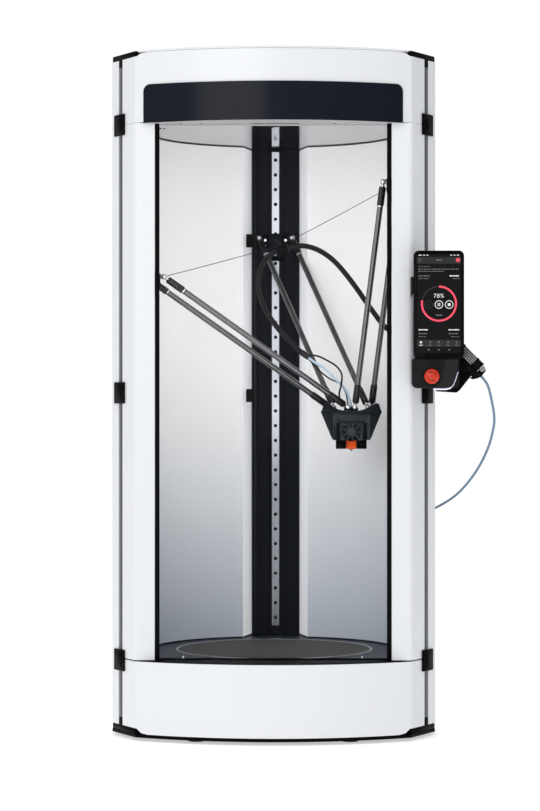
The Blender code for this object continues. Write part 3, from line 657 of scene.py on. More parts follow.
def make_caps():
    """Base tray, top plate and pads, and the black caps and grey strips at the three corners."""
    tray = prism("base_tray", body_outline(0.3, CORNER_FACE - 0.3), up(BASE_LOW), up(BASE_TOP), 1.0)
    plate = prism("top_plate", body_outline(3.5, 263), up(LID_LOW - 5.5), up(LID_LOW - 0.5), 0.5)
    fit(tray, finish="black_paint", stands_for=["base_frame"])
    fit(plate, finish="black_paint", stands_for=["top_frame"])
    for pad_name, angle in (("left", 235), ("right", 305), ("back_right", 75), ("back_left", 105)):
        foot = lathe(f"pad_{pad_name}", [(0, 0), (12.5, 0), (13.8, 1.2), (13.8, 5.4), (0, 5.4)], 32)
        place(foot, radial(angle, 205, 0, up(0)))
        fit(foot, finish="rubber")
    for side, angle in TOWERS.items():
        make_corner_cap(side, "low", BASE_TOP - 0.5, BASE_TOP + CAP, BASE_TOP + CAP + 12)
        make_corner_cap(side, "high", BODY_TOP - CAP, BODY_TOP, BODY_TOP - CAP - 12)
        make_seam(side, angle)


def make_corner_cap(side, label, low, high, tail):
    """Cap across a corner, with a tongue over the seam that ends at the height called tail."""
    half = SEAM_HALF - 0.4
    head = prism("head", rectangle(CAP_INNER - 3, CORNER_FACE - 0.1, -CAP_HALF - 2, CAP_HALF + 2),
                 up(low), up(high), 1.8)
    ends = sorted((tail, (low + high) / 2))
    tongue = prism("tail", rectangle(CAP_INNER + 0.5, CORNER_FACE - 0.5, SEAM[side] - half,
                                     SEAM[side] + half),
                   up(ends[0]), up(ends[1]), 1.0)
    cap = joined(f"corner_cap_{side}_{label}", [head, tongue])
    place(cap, rotation=(0, 0, TOWERS[side]))
    fit(cap, finish="plastic")


def make_seam(side, angle):
    """Grey strip with a slot, sunk between the panels' edges."""
    low, high = up(BASE_TOP + CAP + 2), up(BODY_TOP - CAP - 2)
    middle, half = SEAM[side], SEAM_HALF - 0.3
    floor, lip, slot = CORNER_FACE - 4.5, CORNER_FACE - 1.2, 1.3
    outline = [(floor - 0.5, middle - half), (lip, middle - half), (lip, middle - slot),
               (floor, middle - slot), (floor, middle + slot), (lip, middle + slot),
               (lip, middle + half), (floor - 0.5, middle + half)]
    strip = place(prism(f"seam_strip_{side}", outline, low, high, 0.3), rotation=(0, 0, angle))
    fit(strip, finish="seam")


def make_clips():
    for side in ("left", "right"):
        middle = SEAM[side]
        for level in ("low", "middle", "high"):
            node = f"panel_clip_{side}_{level}"
            low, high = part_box(node)[0].z / MM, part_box(node)[1].z / MM
            body = prism("clip", rectangle(CORNER_FACE + 0.3, CORNER_FACE + 3.2, middle - 17.5,
                                           middle + 17.5),
                         low, high, 1.3)
            latch = prism("latch", rectangle(CORNER_FACE + 1, CORNER_FACE + 3.8, middle - 8, middle + 8),
                          low + 6, high - 6, 0.9)
            clip = place(joined(f"{node}_shape", [body, latch]), rotation=(0, 0, TOWERS[side]))
            fit(clip, finish="plastic", stands_for=[node])


# ---------------------------------------------------------------- chamber

def make_chamber():
    ends = {
        "left": (TOWERS["back"] + BACK_SLOT, TOWERS["left"] - FRONT_SLOT),
        "right": (TOWERS["right"] - 360 + FRONT_SLOT, TOWERS["back"] - BACK_SLOT),
    }
    for side, (first, last) in ends.items():
        make_liner(side, first, last)
        make_flange(side, first)
        make_flange(side, last)
    make_deck()
    make_ceiling()
    for i, height in enumerate((789.0, 529.5)):
        clip = prism(f"back_tower_clip_{i}", rectangle(-49.0, -37.0, 184, 194), up(height - 11),
                     up(height + 11), 1.2)
        fit(clip, finish="plastic")


def make_liner(side, first, last):
    """Curved sheet between two towers, with a dark seal along its foot and its top."""
    angles = [first + (last - first) * i / 48 for i in range(49)]
    path, inner = ([tuple(radial(a, out).xy) for a in angles] for out in (LINER + 2, LINER - 0.1))
    liner = wall(f"liner_{side}_sheet", path, level(DECK_TOP + 0.3), level(CEILING - 0.3), 2.0, bevel=0.3)
    fit(liner, finish="liner", stands_for=[f"liner_{side}"])
    for label, low, high in SEALS:
        seal = wall(f"liner_{side}_{label}", inner, level(low), level(high), 1.0, bevel=0.3)
        fit(seal, finish="rubber")


def make_flange(side, angle):
    """Strip from a liner's edge back to the tower beside it, with seals like the liner's; its weak glow is
    painted light that lifts its shaded face.
    """
    tower = min(TOWERS, key=lambda name: gap(TOWERS[name], angle))
    lean = math.radians(angle - TOWERS[tower])
    start = radial(TOWERS[tower], (LINER + 1) * math.cos(lean), (LINER + 1) * math.sin(lean))
    end = radial(TOWERS[tower], TOWER_INNER + 6, math.copysign(41.2, math.sin(lean)))
    across = Vector((-(end - start).y, (end - start).x)).normalized() * 0.6
    outline = [start.xy - across, end.xy - across, end.xy + across, start.xy + across]
    flange = prism(f"flange_{side}_{tower}", outline, up(DECK_TOP + 0.4), up(CEILING - 0.4), 0.2)
    # The strip's finish glows: painted light.
    fit(flange, finish="flange")
    inward = across * (2.2 if across.dot(start.xy) < 0 else -2.2)
    for label, low, high in SEALS:
        seal = prism(f"flange_{side}_{tower}_{label}", [p + inward for p in outline], up(low), up(high),
                     0.2)
        fit(seal, finish="rubber")


def gap(first, second):
    """Angle in degrees between two directions."""
    return abs((first - second + 180) % 360 - 180)


def ring_plate(name, outer, inner_radius, low, high, bevel):
    """Flat plate with a round hole; the hole has a point for each point of the outline."""
    angles = [math.atan2(y, x) for x, y in outer]
    inner = [(inner_radius * math.cos(a), inner_radius * math.sin(a)) for a in angles]
    loops = ((outer, low), (outer, high), (inner, high), (inner, low))
    return skin([[(x, y, z) for x, y in loop] for loop, z in loops], name, bevel, close=True)


def make_deck():
    """Dark deck with a raised sill at the door, the heated plate and its sheet, and two screws that glow
    white as painted highlights.
    """
    deck = ring_plate("deck_plate", body_outline(3.4, 228), 158, up(116), up(DECK_TOP), 0.6)
    fit(deck, finish="deck", stands_for=["bed_deck"])
    reach, sill_half, sill_back = SIDE_RADIUS - 3.6, 178, FRONT - 0.8
    half = math.asin(sill_half / reach)
    front = [front_curve(reach, half * (k / 12 - 1)) for k in range(25)]
    sill = prism("door_sill", front + [(sill_half, sill_back), (-sill_half, sill_back)],
                 up(DECK_TOP + 0.02), up(DECK_TOP + 0.5), 0.15)
    fit(sill, finish="jet")
    plate = [(0, 112.2), (157.4, 112.2), (157.4, 123.1), (156.9, 123.4), (0, 123.4)]
    heater = lathe("heated_plate", [(r, up(z)) for r, z in plate], 128)
    fit(heater, finish="aluminium", stands_for=["heated_bed"])
    sheet = lathe("print_sheet_disc", [(0, -0.7), (152.9, -0.7), (153, -0.3), (152.6, 0), (0, 0)], 128)
    fit(sheet, finish="sheet", stands_for=["print_sheet"])
    rim = lathe("bed_rim", [(153.6, -0.75), (156.8, -0.75), (156.8, 0.2), (156.2, 0.5), (154.2, 0.5),
                            (153.6, 0.2)], 128)
    fit(rim, finish="aluminium")
    for i, x in enumerate((-138.7, 136.6)):
        head = lathe(f"deck_screw_{i}", [(0, 0), (3.2, 0), (3.2, 1.0), (1.4, 1.7), (1.2, 4.6), (0.8, 5.0),
                                         (0, 5.0)], 20)
        place(head, (x, -150, up(DECK_TOP)))
        # The screw heads glow white: painted highlights.
        fit(head, finish="ui_white")


def make_ceiling():
    """Polished plate with its holes, and a small dark bracket at the front."""
    plate = prism("ceiling_sheet", clipped(body_outline(3.5, 228), -160), up(CEILING), up(CEILING + 3), 0.5)
    fit(plate, finish="mirror", stands_for=["ceiling_plate"])
    holes = ((-141.6, -157, 2.2), (-111.2, -154.8, 2.2), (-159.2, -133, 2.6), (-177.4, -83, 1.8),
             (-171.3, -83, 1.8), (94.8, -157, 2.4), (118.5, -133, 2.6))
    for i, (x, y, r) in enumerate(holes):
        cup = lathe(f"ceiling_hole_{i}", [(0, 0.05), (r - 0.5, 0.05), (r - 0.4, -0.5), (r, -0.5),
                                          (r + 0.2, 0.1), (r + 0.2, 0.4), (0, 0.4)], 20)
        place(cup, (x, y, up(CEILING) - 0.1))
        # The cup behind each hole is painted near black: painted shade.
        fit(cup, finish="hole")
    block = prism("block", rounded(-12.5, 8.5, -164, -155, 1.5), up(941), up(CEILING - 0.1), 0.8)
    lens = lathe("lens", [(0, -1.2), (2.2, -1.2), (2.6, -0.6), (2.6, 1), (0, 1)], 20)
    place(lens, (-2, -159.5, up(941)))
    fit(joined("ceiling_bracket", [block, lens]), finish="plastic")


def make_towers():
    """Extrusions, rails and the two runs of each belt."""
    for side, angle in TOWERS.items():
        painted(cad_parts[f"tower_{side}"], "anodised")
        make_rail(side, angle)
        way = -1 if side == "left" else 1
        across = sorted((31.2 * way, 37 * way))
        runs = [prism("run", rectangle(out - 0.6, out + 0.6, *across), up(SHAFT), up(940), 0.2)
                for out in (211.6, 224.4)]
        belt = place(joined(f"belt_{side}", runs), rotation=(0, 0, angle))
        fit(belt, finish="rubber")


def make_rail(side, angle):
    """Linear rail with its countersunk holes every 25 mm and a groove down each flank."""
    low, high = 140.0, 942.0
    front, holes = rail_face(low, high, pitch=25.0, half=6.0, hole=3.0, depth=4.5)
    back, skin_gap, pocket = TOWER_INNER - 0.3, RAIL_FACE + 0.02, RAIL_FACE + 4.6
    flank = [(skin_gap, -6), (RAIL_FACE + 2, -6), (RAIL_FACE + 3.2, -4.9), (RAIL_FACE + 4.4, -6),
             (back, -6)]
    flank += [(x, -y) for x, y in reversed(flank)]
    flank += [(skin_gap, 4.2), (pocket, 4.2), (pocket, -4.2), (skin_gap, -4.2)]
    body = prism("body", flank, up(low), up(high))
    # The cups behind the rail's holes are painted near black: painted shade.
    parts = [painted(front, "rail"), painted(holes, "hole"), painted(body, "rail")]
    rail = place(joined(f"rail_{side}_ground", parts), rotation=(0, 0, angle))
    fit(rail, stands_for=[f"rail_{side}"])


def rail_face(low, high, pitch, half, hole, depth, sides=16):
    """The rail's front face with round openings, and the cups behind them."""
    face, cups = bmesh.new(), bmesh.new()
    first = low + (high - low) % pitch / 2
    count = int((high - low) // pitch)
    turns = [2 * math.pi * (k + 0.5) / sides for k in range(sides)]
    for i in range(count):
        cell_low, cell_high, middle = (first + (i + share) * pitch for share in (0, 1, 0.5))
        field_low = low if i == 0 else cell_low
        field_high = high if i == count - 1 else cell_high
        edge, rim, mouth, floor = [], [], [], []
        for a in turns:
            c, s = math.cos(a), math.sin(a)
            reach = min(half / max(abs(c), 1e-6), (pitch / 2) / max(abs(s), 1e-6))
            z = middle + s * reach
            if abs(z - (middle - pitch / 2)) < 0.01:
                z = field_low
            if abs(z - (middle + pitch / 2)) < 0.01:
                z = field_high
            round_at = (c * hole, up(middle + s * hole))
            edge.append(face.verts.new((RAIL_FACE, c * reach, up(z))))
            rim.append(face.verts.new((RAIL_FACE, *round_at)))
            mouth.append(cups.verts.new((RAIL_FACE, *round_at)))
            floor.append(cups.verts.new((RAIL_FACE + depth, *round_at)))
        for k in range(sides):
            j = (k + 1) % sides
            face.faces.new((edge[k], edge[j], rim[j], rim[k]))
            cups.faces.new((mouth[k], mouth[j], floor[j], floor[k]))
        cups.faces.new(floor)
        for y, z in ((y, z) for z in (field_low, field_high) for y in (-half, half)):
            near = sorted(edge, key=lambda v: abs(v.co.y - y) + abs(v.co.z - up(z)))[:2]
            face.faces.new((near[0], near[1], face.verts.new((RAIL_FACE, y, up(z)))))
    return add(face, "front"), add(cups, "holes")


# ---------------------------------------------------------------- moving group

def carriage_height(angle):
    out = radial(angle, CARRIAGE_JOINT - EFFECTOR_JOINT).xy - EFFECTOR.xy
    return math.sqrt(ARM_LENGTH**2 - out.length_squared)


def socket_screw(radius, height, at, turn=(0, 0, 0), finish="steel"):
    """Cap screw with a hollow head, along +Z before it is turned."""
    screw = lathe("screw", [(0, 0), (radius, 0), (radius, height - 0.4), (radius - 0.4, height),
                            (radius * 0.5, height), (radius * 0.5, height * 0.4), (0, height * 0.4)], 18)
    return painted(place(screw, at, turn), finish)


def make_carriages():
    """Rail blocks with end seals, a bolted plate, and chrome seats for the two balls."""
    out = RAIL_FACE - CARRIAGE_JOINT
    toward_rail, toward_axis = (0, 90, 0), (0, -90, 0)
    for side, angle in TOWERS.items():
        centre = radial(angle, CARRIAGE_JOINT, 0, EFFECTOR.z + carriage_height(angle))
        saddle = [(13.2, -13.5), (out + 5.4, -13.5), (out + 5.4, -6.5), (out - 0.3, -6.5)]
        saddle += [(x, -y) for x, y in reversed(saddle)]
        parts = [painted(prism("saddle", saddle, -33.5, 3.5, 0.5), "anodised")]
        for low, high in ((-38, -33.6), (3.6, 8)):
            parts.append(prism("seal", saddle, low, high, 0.8))
        plate = upright("plate", rounded(-30.5, 30.5, -19, 4.4, 4), 0, 6.8, 1.2)
        parts.append(place(plate, (13.4, 0, 0), (0, 0, 90)))
        wedge = [(-12, 7), (12, 7), (12, -20), (8, -33), (-8, -33), (-12, -20)]
        block = upright("block", wedge, 0, 5.5, 1.4)
        parts.append(painted(place(block, (9.5, 0, 0), (0, 0, 90)), "charcoal"))
        for end in (-1, 1):
            cone = lathe("cone", [(0, 2.4), (5.6, 2.4), (4.6, -0.4), (2.9, -1.6), (0, -1.6)], 24)
            parts.append(painted(place(cone, (6.4, end * PAIR_HALF, 0), toward_rail), "chrome"))
            for z in (-14, -4):
                parts.append(socket_screw(2.3, 2.0, (6.8, end * 17, z), toward_axis))
        for z in (-29, -24):
            parts.append(socket_screw(1.4, 1.0, (4.2, 0, z), toward_axis))
        carriage = joined(f"carriage_{side}_block", parts, "plastic")
        place(carriage, centre, (0, 0, angle))
        fit(carriage, f"carriage_{side}", stands_for=[f"carriage_{side}"])


def make_arms():
    """Carbon tubes with a black sleeve and a bright ball at each end."""
    for side, angle in TOWERS.items():
        run = radial(angle, CARRIAGE_JOINT - EFFECTOR_JOINT, 0, carriage_height(angle))
        run = run - Vector((*EFFECTOR.xy, 0))
        turn_to = run.to_track_quat("Z", "Y").to_euler()
        for label, end in (("a", -1), ("b", 1)):
            arm = joined(f"arm_{side}_{label}_rod", arm_parts())
            arm.location = (EFFECTOR + radial(angle, EFFECTOR_JOINT, end * PAIR_HALF)) * MM
            arm.rotation_euler = turn_to
            fit(arm, f"arm_{side}_{label}", stands_for=[f"arm_{side}_{label}"])


def arm_parts():
    """One arm along Z from its effector ball; only the upper collar is bright."""
    covered = 36
    heights = [*range(covered, int(ARM_LENGTH) - covered + 1, 20), ARM_LENGTH - covered]
    tube = hose("tube", [Vector((0, 0, z)) for z in heights], 4.5, 20)
    parts = [painted(tube, "carbon")]
    turns = [math.pi * k / 14 for k in range(1, 12)]
    round_ball = [(BALL * math.sin(a), -BALL * math.cos(a)) for a in turns]
    fittings = (
        ("sleeve", [(0, 7.6), (3.6, 7.6), (5.2, 8.6), (5.5, 10), (5.5, 36.6), (5.2, 37.2), (0, 37.2)]),
        ("chrome", [(0, -BALL), *round_ball, (2.3, 5.2), (3.1, 7.8), (0, 7.8)]),
        ("steel", [(0, 37.2), (5.0, 37.2), (5.1, 37.5), (5.1, 38.4), (4.6, 38.8), (0, 38.8)]),
    )
    for upper_end in (False, True):
        for finish, profile in fittings:
            part = lathe("fitting", profile, 24)
            if upper_end:
                place(part, (0, 0, ARM_LENGTH), (180, 0, 0))
            elif finish == "steel":
                finish = "sleeve"
            parts.append(painted(part, finish))
    return parts


def shroud_ring(half_x, front, back, chamfer, height, flat):
    """Twelve-sided ring of the print head's shroud; flat is the front face's half width."""
    right = [(flat, front, height), (flat + 3, front + 2, height), (half_x, front + chamfer, height),
             (half_x, back - chamfer, height), (half_x - chamfer, back, height), (8, back, height)]
    left = [(-x, y, z) for x, y, z in reversed(right)]
    return left[3:] + right + left[:3]


def make_effector():
    """Print head: a tapering shroud with a square fan funnel, ears, ducts and seats for the arms' balls."""
    parts = [skin([shroud_ring(29.5, -40, 30, 10, -51.7, 20), shroud_ring(33, -41, 33, 12, -44, 22),
                   shroud_ring(48.6, -41, 43, 22, -6.6, 27), shroud_ring(47.2, -39, 41.5, 22, -5.5, 26)],
                  "shroud", 0.7)]
    outer = [(-29.3, -10.6), (29.3, -10.6), (29.3, -51), (-29.3, -51)]
    inner = [(-17.6, -25), (17.6, -25), (17.6, -51), (-17.6, -51)]
    loops = ((outer, -37), (outer, -45), (inner, -39.5), (inner, -37))
    funnel = skin([[(x, y, z) for x, z in loop] for loop, y in loops], "funnel", 0.5, 20, close=True)
    # The funnel is painted lighter than the shroud: a painted highlight.
    parts.append(painted(funnel, "charcoal_lit"))
    for end in (-1, 1):
        groove = prism("groove", rectangle(*sorted((end * 20.5, end * 23.5)), -44.4, -40), -50, -24, 0.3)
        cheek = [(end * 29, -41, -12), (end * 44, -24, -7), (end * 33, -24, -46), (end * 29, -40, -46)]
        inside = [(x, y + 2.5, z) for x, y, z in cheek]
        # The grooves are painted near black: painted shade.
        parts += [painted(groove, "hole"), skin([cheek, inside], "cheek", 0.4)]
    ear = [(9, -9), (9, -5.6), (22, -2.4), (31, 2.8), (39.5, 7.4), (44, 5.6), (47, -4.4), (48.6, -6.2),
           (48.2, -9)]
    for way in (-1, 1):
        parts.append(upright("ear", [(x * way, z) for x, z in ear], -24, -8, 1.0))
    parts += fan_mount()
    for side in (-1, 1):
        x0, x1 = sorted((side * 8.5, side * 24.4))
        duct = skin([[(x, y, -50) for x, y in rectangle(x0, x1, -20, 14)],
                     [(x, y, -65.8) for x, y in rectangle(x0, x1, -19, 12)]], "duct", 0.8)
        parts.append(painted(duct, "plastic"))
        for k in range(3):
            # The slits are painted near black: painted shade inside the ducts.
            slit = prism("slit", rectangle(x0 + 3, x1 - 3, -19.6, -19.1), -55 - 3.2 * k, -54 - 3.2 * k)
            parts.append(painted(slit, "hole"))
    for angle in TOWERS.values():
        for end in (-1, 1):
            seat = lathe("seat", [(0, 0), (5.5, 0), (4.2, 0.7), (0, 0.7)], 20)
            place(seat, radial(angle, EFFECTOR_JOINT, end * PAIR_HALF, -5.6))
            parts.append(painted(seat, "sleeve"))
    port = lathe("port", [(0, -5.6), (11.5, -5.6), (11.5, -1), (10, 1.6), (6, 2), (6, -1), (0, -1)], 32)
    parts.append(painted(port, "plastic"))
    body = place(joined("effector_shell", parts, "charcoal"), EFFECTOR)
    fit(body, "effector", stands_for=["effector_body"])


def fan_mount():
    """Fan plate with a round bore, the dark disc behind the blades that is painted shade in the bore, three
    spokes and two screws; the plate takes the lighter print, a painted highlight.
    """
    forward = (-90, 0, 0)
    plate = upright("fan_plate", rounded(-17.4, 17.4, -51.5, -25.2, 1.5), -45.6, -36)
    bore = lathe("bore", [(0, -1), (14.9, -1), (14.9, 7), (0, 7)], 48)
    parts = [painted(cut(plate, place(bore, (0, -46.0, -FAN_BELOW), forward)), "charcoal_lit")]
    # The disc is painted near black: painted shade in the bore behind the blades.
    shade = lathe("shade", [(0, 0), (14.7, 0), (14.7, 0.6), (0, 0.6)], 48)
    parts.append(painted(place(shade, (0, -39.8, -FAN_BELOW), forward), "hole"))
    for i in range(3):
        spoke = upright("spoke", rectangle(-0.7, 0.7, 6, 15.2), -40.6, -39.6)
        parts.append(place(spoke, (0, 0, -FAN_BELOW), (0, 120 * i + 20, 0)))
    parts += [socket_screw(1.5, 1.0, (x, -45.4, -28.2), (90, 0, 0), "plastic") for x in (-15, 15)]
    return parts


def make_hot_end():
    levels = ((8.2, 9.8, -52.1), (8, 9.2, -64), (6.4, 7.6, -66.4))
    sock = skin([[(px, py, z) for px, py in rectangle(-x, x, -y, y)] for x, y, z in levels], "sock", 0.7)
    tip = lathe("tip", [(0, -70), (0.5, -70), (0.9, -69.6), (3.0, -67), (3.4, -65.5), (0, -65.5)], 24)
    # The sock's finish glows a little: painted light.
    parts = [painted(sock, "silicone"), painted(tip, "steel")]
    hot_end = place(joined("hot_end_sock", parts), EFFECTOR)
    fit(hot_end, "effector", stands_for=["hot_end"])


def make_fan():
    """Rotor with nine swept blades round a hub, turning about Y."""
    parts = [lathe("hub", [(0, -3.9), (6.8, -3.9), (7.6, -3.2), (7.6, 0.2), (0, 0.2)], 32)]
    root = [(-1.0, -3.4), (0.5, -3.4), (1.2, -0.4), (-0.3, -0.4)]
    tip = [(-1.3, -3.4), (0.9, -3.4), (1.9, -0.4), (-0.3, -0.4)]
    for i in range(9):
        blade = skin([[(r, y, z) for y, z in section] for r, section in ((7.0, root), (13.8, tip))],
                     "blade")
        parts.append(place(blade, rotation=(0, 0, 40 * i)))
    rotor = joined("fan_rotor_blades", parts)
    place(rotor, EFFECTOR + Vector((0, -41, -FAN_BELOW)), (-90, 0, 0))
    # The rotor takes the lighter print: a painted highlight.
    fit(rotor, "fan", finish="charcoal_lit", stands_for=["fan_rotor"])


HOSE_WALL_TO_CLAMP = [(193.6, 27, 634), (183, 26.5, 636), (172.5, 25, 646), (160.2, 22, 662),
                      (145.3, 20, 682.8), (130.5, 18, 703.7), (113.3, 18, 726.2), (96, 20, 745.5),
                      (76.5, 24, 760.2), (56.8, 27, 768.5), (39.7, 30, 770.3), (14, 31, 764.8)]
HOSE_CLAMP_TO_SLEEVE = [(13, 31, 764.4), (0, 30, 759.5), (-12, 27, 750), (-22.1, 20, 732.6),
                        (-25.6, 12, 708.2), (-21.8, 6, 685.7), (-12, 2, 662.7), (2.9, 0, 640.4),
                        (19.8, 0, 621.2), (37.1, 0, 603.6), (54, 0, 591)]
INNER_LINES = {
    "feed_tube": (2.0, "tube", [(50, 0, 594), (61.6, 0, 584.4), (81.3, 1, 571.6), (100.5, 2, 552.4),
                                (113.3, 2, 540), (121, 1, 522), (122.9, 0, 509)]),
    "cable_a": (1.5, "rubber", [(50, -2, 594), (68.5, -4, 592.4), (86, -5, 584.4), (100.5, -6, 574.8),
                                (108, -7, 562), (106.9, -7, 546), (104, -7, 528), (114, -5, 509)]),
    "cable_b": (1.2, "rubber", [(50, 2, 593), (59, 4, 583), (73.5, 5, 568), (89, 6, 556), (105, 7, 548),
                                (114.5, 7, 534), (119, 5, 509)]),
}


def make_hoses():
    """Braided hose in two stretches, its cuff and wall gland, and the lines that come out of it."""
    upper = smooth_route(above_bench(HOSE_WALL_TO_CLAMP), 4)
    piece = painted(hose("hose_upper_braid", upper, 4.2, 20), "braid")
    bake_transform(piece)
    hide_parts("hose_upper")
    lower = smooth_route(above_bench(HOSE_CLAMP_TO_SLEEVE), 4)
    fit(hose("hose_lower_braid", lower, 4.2, 20), "effector", "braid", ["hose_lower"])
    cuff_line = smooth_route([lower[-4], lower[-2], lower[-1] + (lower[-1] - lower[-2]) * 0.4], 3)
    fit(hose("hose_cuff", cuff_line, 4.9, 20), "effector", "sleeve")
    for name, (radius, finish, route) in INNER_LINES.items():
        line = hose(name, smooth_route(above_bench(route), 4), radius, 12)
        fit(line, "effector", finish)
    gland = lathe("gland", [(4.4, 0), (9.5, 0), (9.5, 2.2), (8.6, 3), (7.4, 3), (6.4, 9), (4.6, 10),
                            (4.4, 10)], 28)
    place(gland, (196.4, 27, up(634)), (0, -90, 8))
    fit(gland, finish="plastic")


def make_clamp():
    """Clamp that carries the hose, and the three elastic strings that hang it from the carriages."""
    middle = Vector((13.5, 31, up(764.6)))
    block = lathe("block", [(4.3, -9), (6.6, -9), (7.2, -8.2), (7.2, 8.2), (6.6, 9), (4.3, 9)], 28)
    place(block, middle, (0, 78, -12))
    hook = lathe("hook", [(0, 0), (2.2, 0), (2.2, 3), (1.2, 4.4), (0, 4.4)], 16)
    place(hook, middle + Vector((0, 0, 6.6)))
    screw = socket_screw(2.0, 2.0, middle + Vector((0, -7, 0)), (90, 0, 0))
    fit(joined("hose_clamp", [block, hook, screw]), "effector", "plastic")
    start, steps, sag = middle + Vector((0, 0, 8)), 12, 1.0
    for side, angle in TOWERS.items():
        eye = radial(angle, CARRIAGE_JOINT + 4, 0, EFFECTOR.z + carriage_height(angle) - 3)
        line = [start.lerp(eye, k / steps) - Vector((0, 0, sag * math.sin(math.pi * k / steps)))
                for k in range(steps + 1)]
        fit(hose(f"hose_string_{side}", line, 0.55, 8), "effector", "rubber")


# ---------------------------------------------------------------- door, dock and phone

def make_door():
    """Slim door frame, black at the sides and foot and bright along the top from a painted glow, round the
    clear pane.
    """
    low, high, inner = up(DECK_TOP + 0.6), up(BAND_LOW - 0.3), 174.2
    parts = []
    for way in (-1, 1):
        sides = sorted((DOOR_HALF * way, inner * way))
        parts.append(upright("stile", rectangle(*sides, low, high), FRONT, FRONT + 3, 0.6))
    # The top bar takes the glowing grey: painted light.
    for edge, finish in ((low, "jet"), (high - 3, "satin")):
        bar = upright("bar", rectangle(-inner, inner, edge, edge + 3), FRONT + 0.02, FRONT + 2.98, 0.5)
        parts.append(painted(bar, finish))
    fit(joined("door_frame_bars", parts, "jet"), "door", stands_for=["door_frame"])
    painted(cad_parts["door_pane"], "pane")


def make_dock():
    """Phone's dock: a back plate, a lower housing with its face, a side grip and an arm to the body."""
    shelf, low, top = up(584.4), up(539.8), up(722)
    housing = [(281.7, shelf), (211.3, shelf), *arc((220, low + 8.7), 8.7, 180, 270, 8)]
    housing += [(261, low), (267, low + 1.6), (272, low + 5.5), (275.6, low + 12), (280.2, up(564.5))]
    face = [(262.2, shelf - 1.2), (213.2, shelf - 1.2), *arc((220.5, low + 9.2), 7.3, 180, 270, 8)]
    face += [(246, low + 1.9), (252.2, low + 6)]
    grip = raised([(209.7, 678.5), (213.3, 683), (213.3, 709.6), (209.7, 709.6)])
    root = rectangle(212, 218, up(684), up(708))
    inside = DOCK_BACK - 1
    parts = [
        upright("back", rounded(216, 283.3, low + 0.2, top, 8), PHONE_BACK + 0.3, DOCK_BACK, 1.4),
        painted(upright("housing", housing, DOCK_FRONT + 1.2, inside, 1.4), "dock_side"),
        upright("face", face, DOCK_FRONT, DOCK_FRONT + 3, 0.9),
        painted(upright("grip", grip, -195, inside, 1.2), "dock_side"),
        upright("grip_root", root, DOCK_BACK - 4, inside, 0.8),
    ]
    fit(joined("dock_shell", parts, "dock"), stands_for=["dock"])
    near = DOCK_BACK + 0.2
    ends = [tuple(radial(TOWERS["right"], CORNER_FACE + 0.4, SEAM["right"] + k).xy) for k in (12, -12)]
    arm = prism("dock_arm", [(222, near), (262, near), *ends], up(600), up(660), 1.5)
    fit(arm, finish="dock")
    make_button(240.8, up(557.8))
    strip = [(244.5, 538.6), (262, 538.6), (268.5, 540), (273.8, 544), (277.2, 551), (281.6, 564.5)]
    line = smooth_route([(x, -188, z) for x, z in raised(strip)], 2.5)
    fit(hose("dock_light_strip", line, 1.25, 10), finish="light_strip")


def make_button(x, height):
    """Mushroom stop button in a flat collar: a domed cap with grip flutes and two turning arrows."""
    forward, radius, sides, flutes, flute_depth = (90, 0, 0), 11.75, 60, 10, 0.35
    collar = lathe("stop_collar", [(6.6, 0), (12.6, 0), (12.6, 0.2), (12.4, 0.4), (6.6, 0.4)], 40)
    place(collar, (x, DOCK_FRONT + 0.1, height), forward)
    fit(collar, finish="plastic")
    profile = [(11.2, 5.2), (radius, 6.2), (radius, 8.2)]
    climb = [math.radians(15 * k) for k in range(1, 6)]
    profile += [(radius * math.cos(a), 8.2 + 5.8 * math.sin(a)) for a in climb]
    turns = [2 * math.pi * k / sides for k in range(sides)]
    rings = []
    for row, (r, z) in enumerate(profile):
        depth = flute_depth if row < 3 else 0
        reach = [r - depth * (0.5 - 0.5 * math.cos(a * flutes)) for a in turns]
        rings.append([(out * math.cos(a), out * math.sin(a), z) for out, a in zip(reach, turns)])
    stem = lathe("stem", [(0, -8), (5.9, -8), (5.9, 5.6), (0, 5.6)], 24)
    parts = [skin(rings, "cap", smooth=60), stem]
    for start in (20, 200):
        line = [Vector((px, py, 12.9)) for px, py in arc((0, 0), 6.6, start, start + 112, 8)]
        parts.append(painted(hose("arrow", line, 0.5, 8, [0.55] * 6 + [1.3, 0.8, 0.2]), "dark_red"))
    button = place(joined("stop_button_cap", parts, "red"), (x, DOCK_FRONT, height), forward)
    fit(button, "stop_button", stands_for=["stop_button"])


PHONE_SIDES, PHONE_ENDS = (213.6, 290.3), (584.7, 749.0)
SCREEN_X, SCREEN_Z = sum(PHONE_SIDES) / 2, up(sum(PHONE_ENDS) / 2)
SCREEN_FACE = PHONE_FRONT - 0.02


def make_phone():
    """Phone with a generic screen: bars for words, a ring with the part done, digits and round keys."""
    (left, right), (low, high) = PHONE_SIDES, map(up, PHONE_ENDS)
    body = upright("body", rounded(left, right, low, high, 8, 10), PHONE_FRONT + 0.5, PHONE_BACK, 1.6)
    glass_outline = rounded(left + 0.8, right - 0.8, low + 0.8, high - 0.8, 7.4, 10)
    glass = upright("glass", glass_outline, PHONE_FRONT, PHONE_FRONT + 1, 0.35)
    parts = [painted(body, "rim"), painted(glass, "screen")]
    for z0, z1 in ((712, 733), (690, 702)):
        side_key = rounded(right - 1, right, up(z0), up(z1), 0.4)
        parts.append(painted(upright("key", side_key, PHONE_FRONT + 3, PHONE_FRONT + 5.6), "rim"))
    parts += [painted(piece, finish) for piece, finish in screen_pieces()]
    parts.append(number_text("78%", SCREEN_X - 0.2, SCREEN_FACE - 0.1, SCREEN_Z + 10.4, 8.8, "ui_white"))
    fit(joined("phone_body", parts), "phone", stands_for=["phone"])


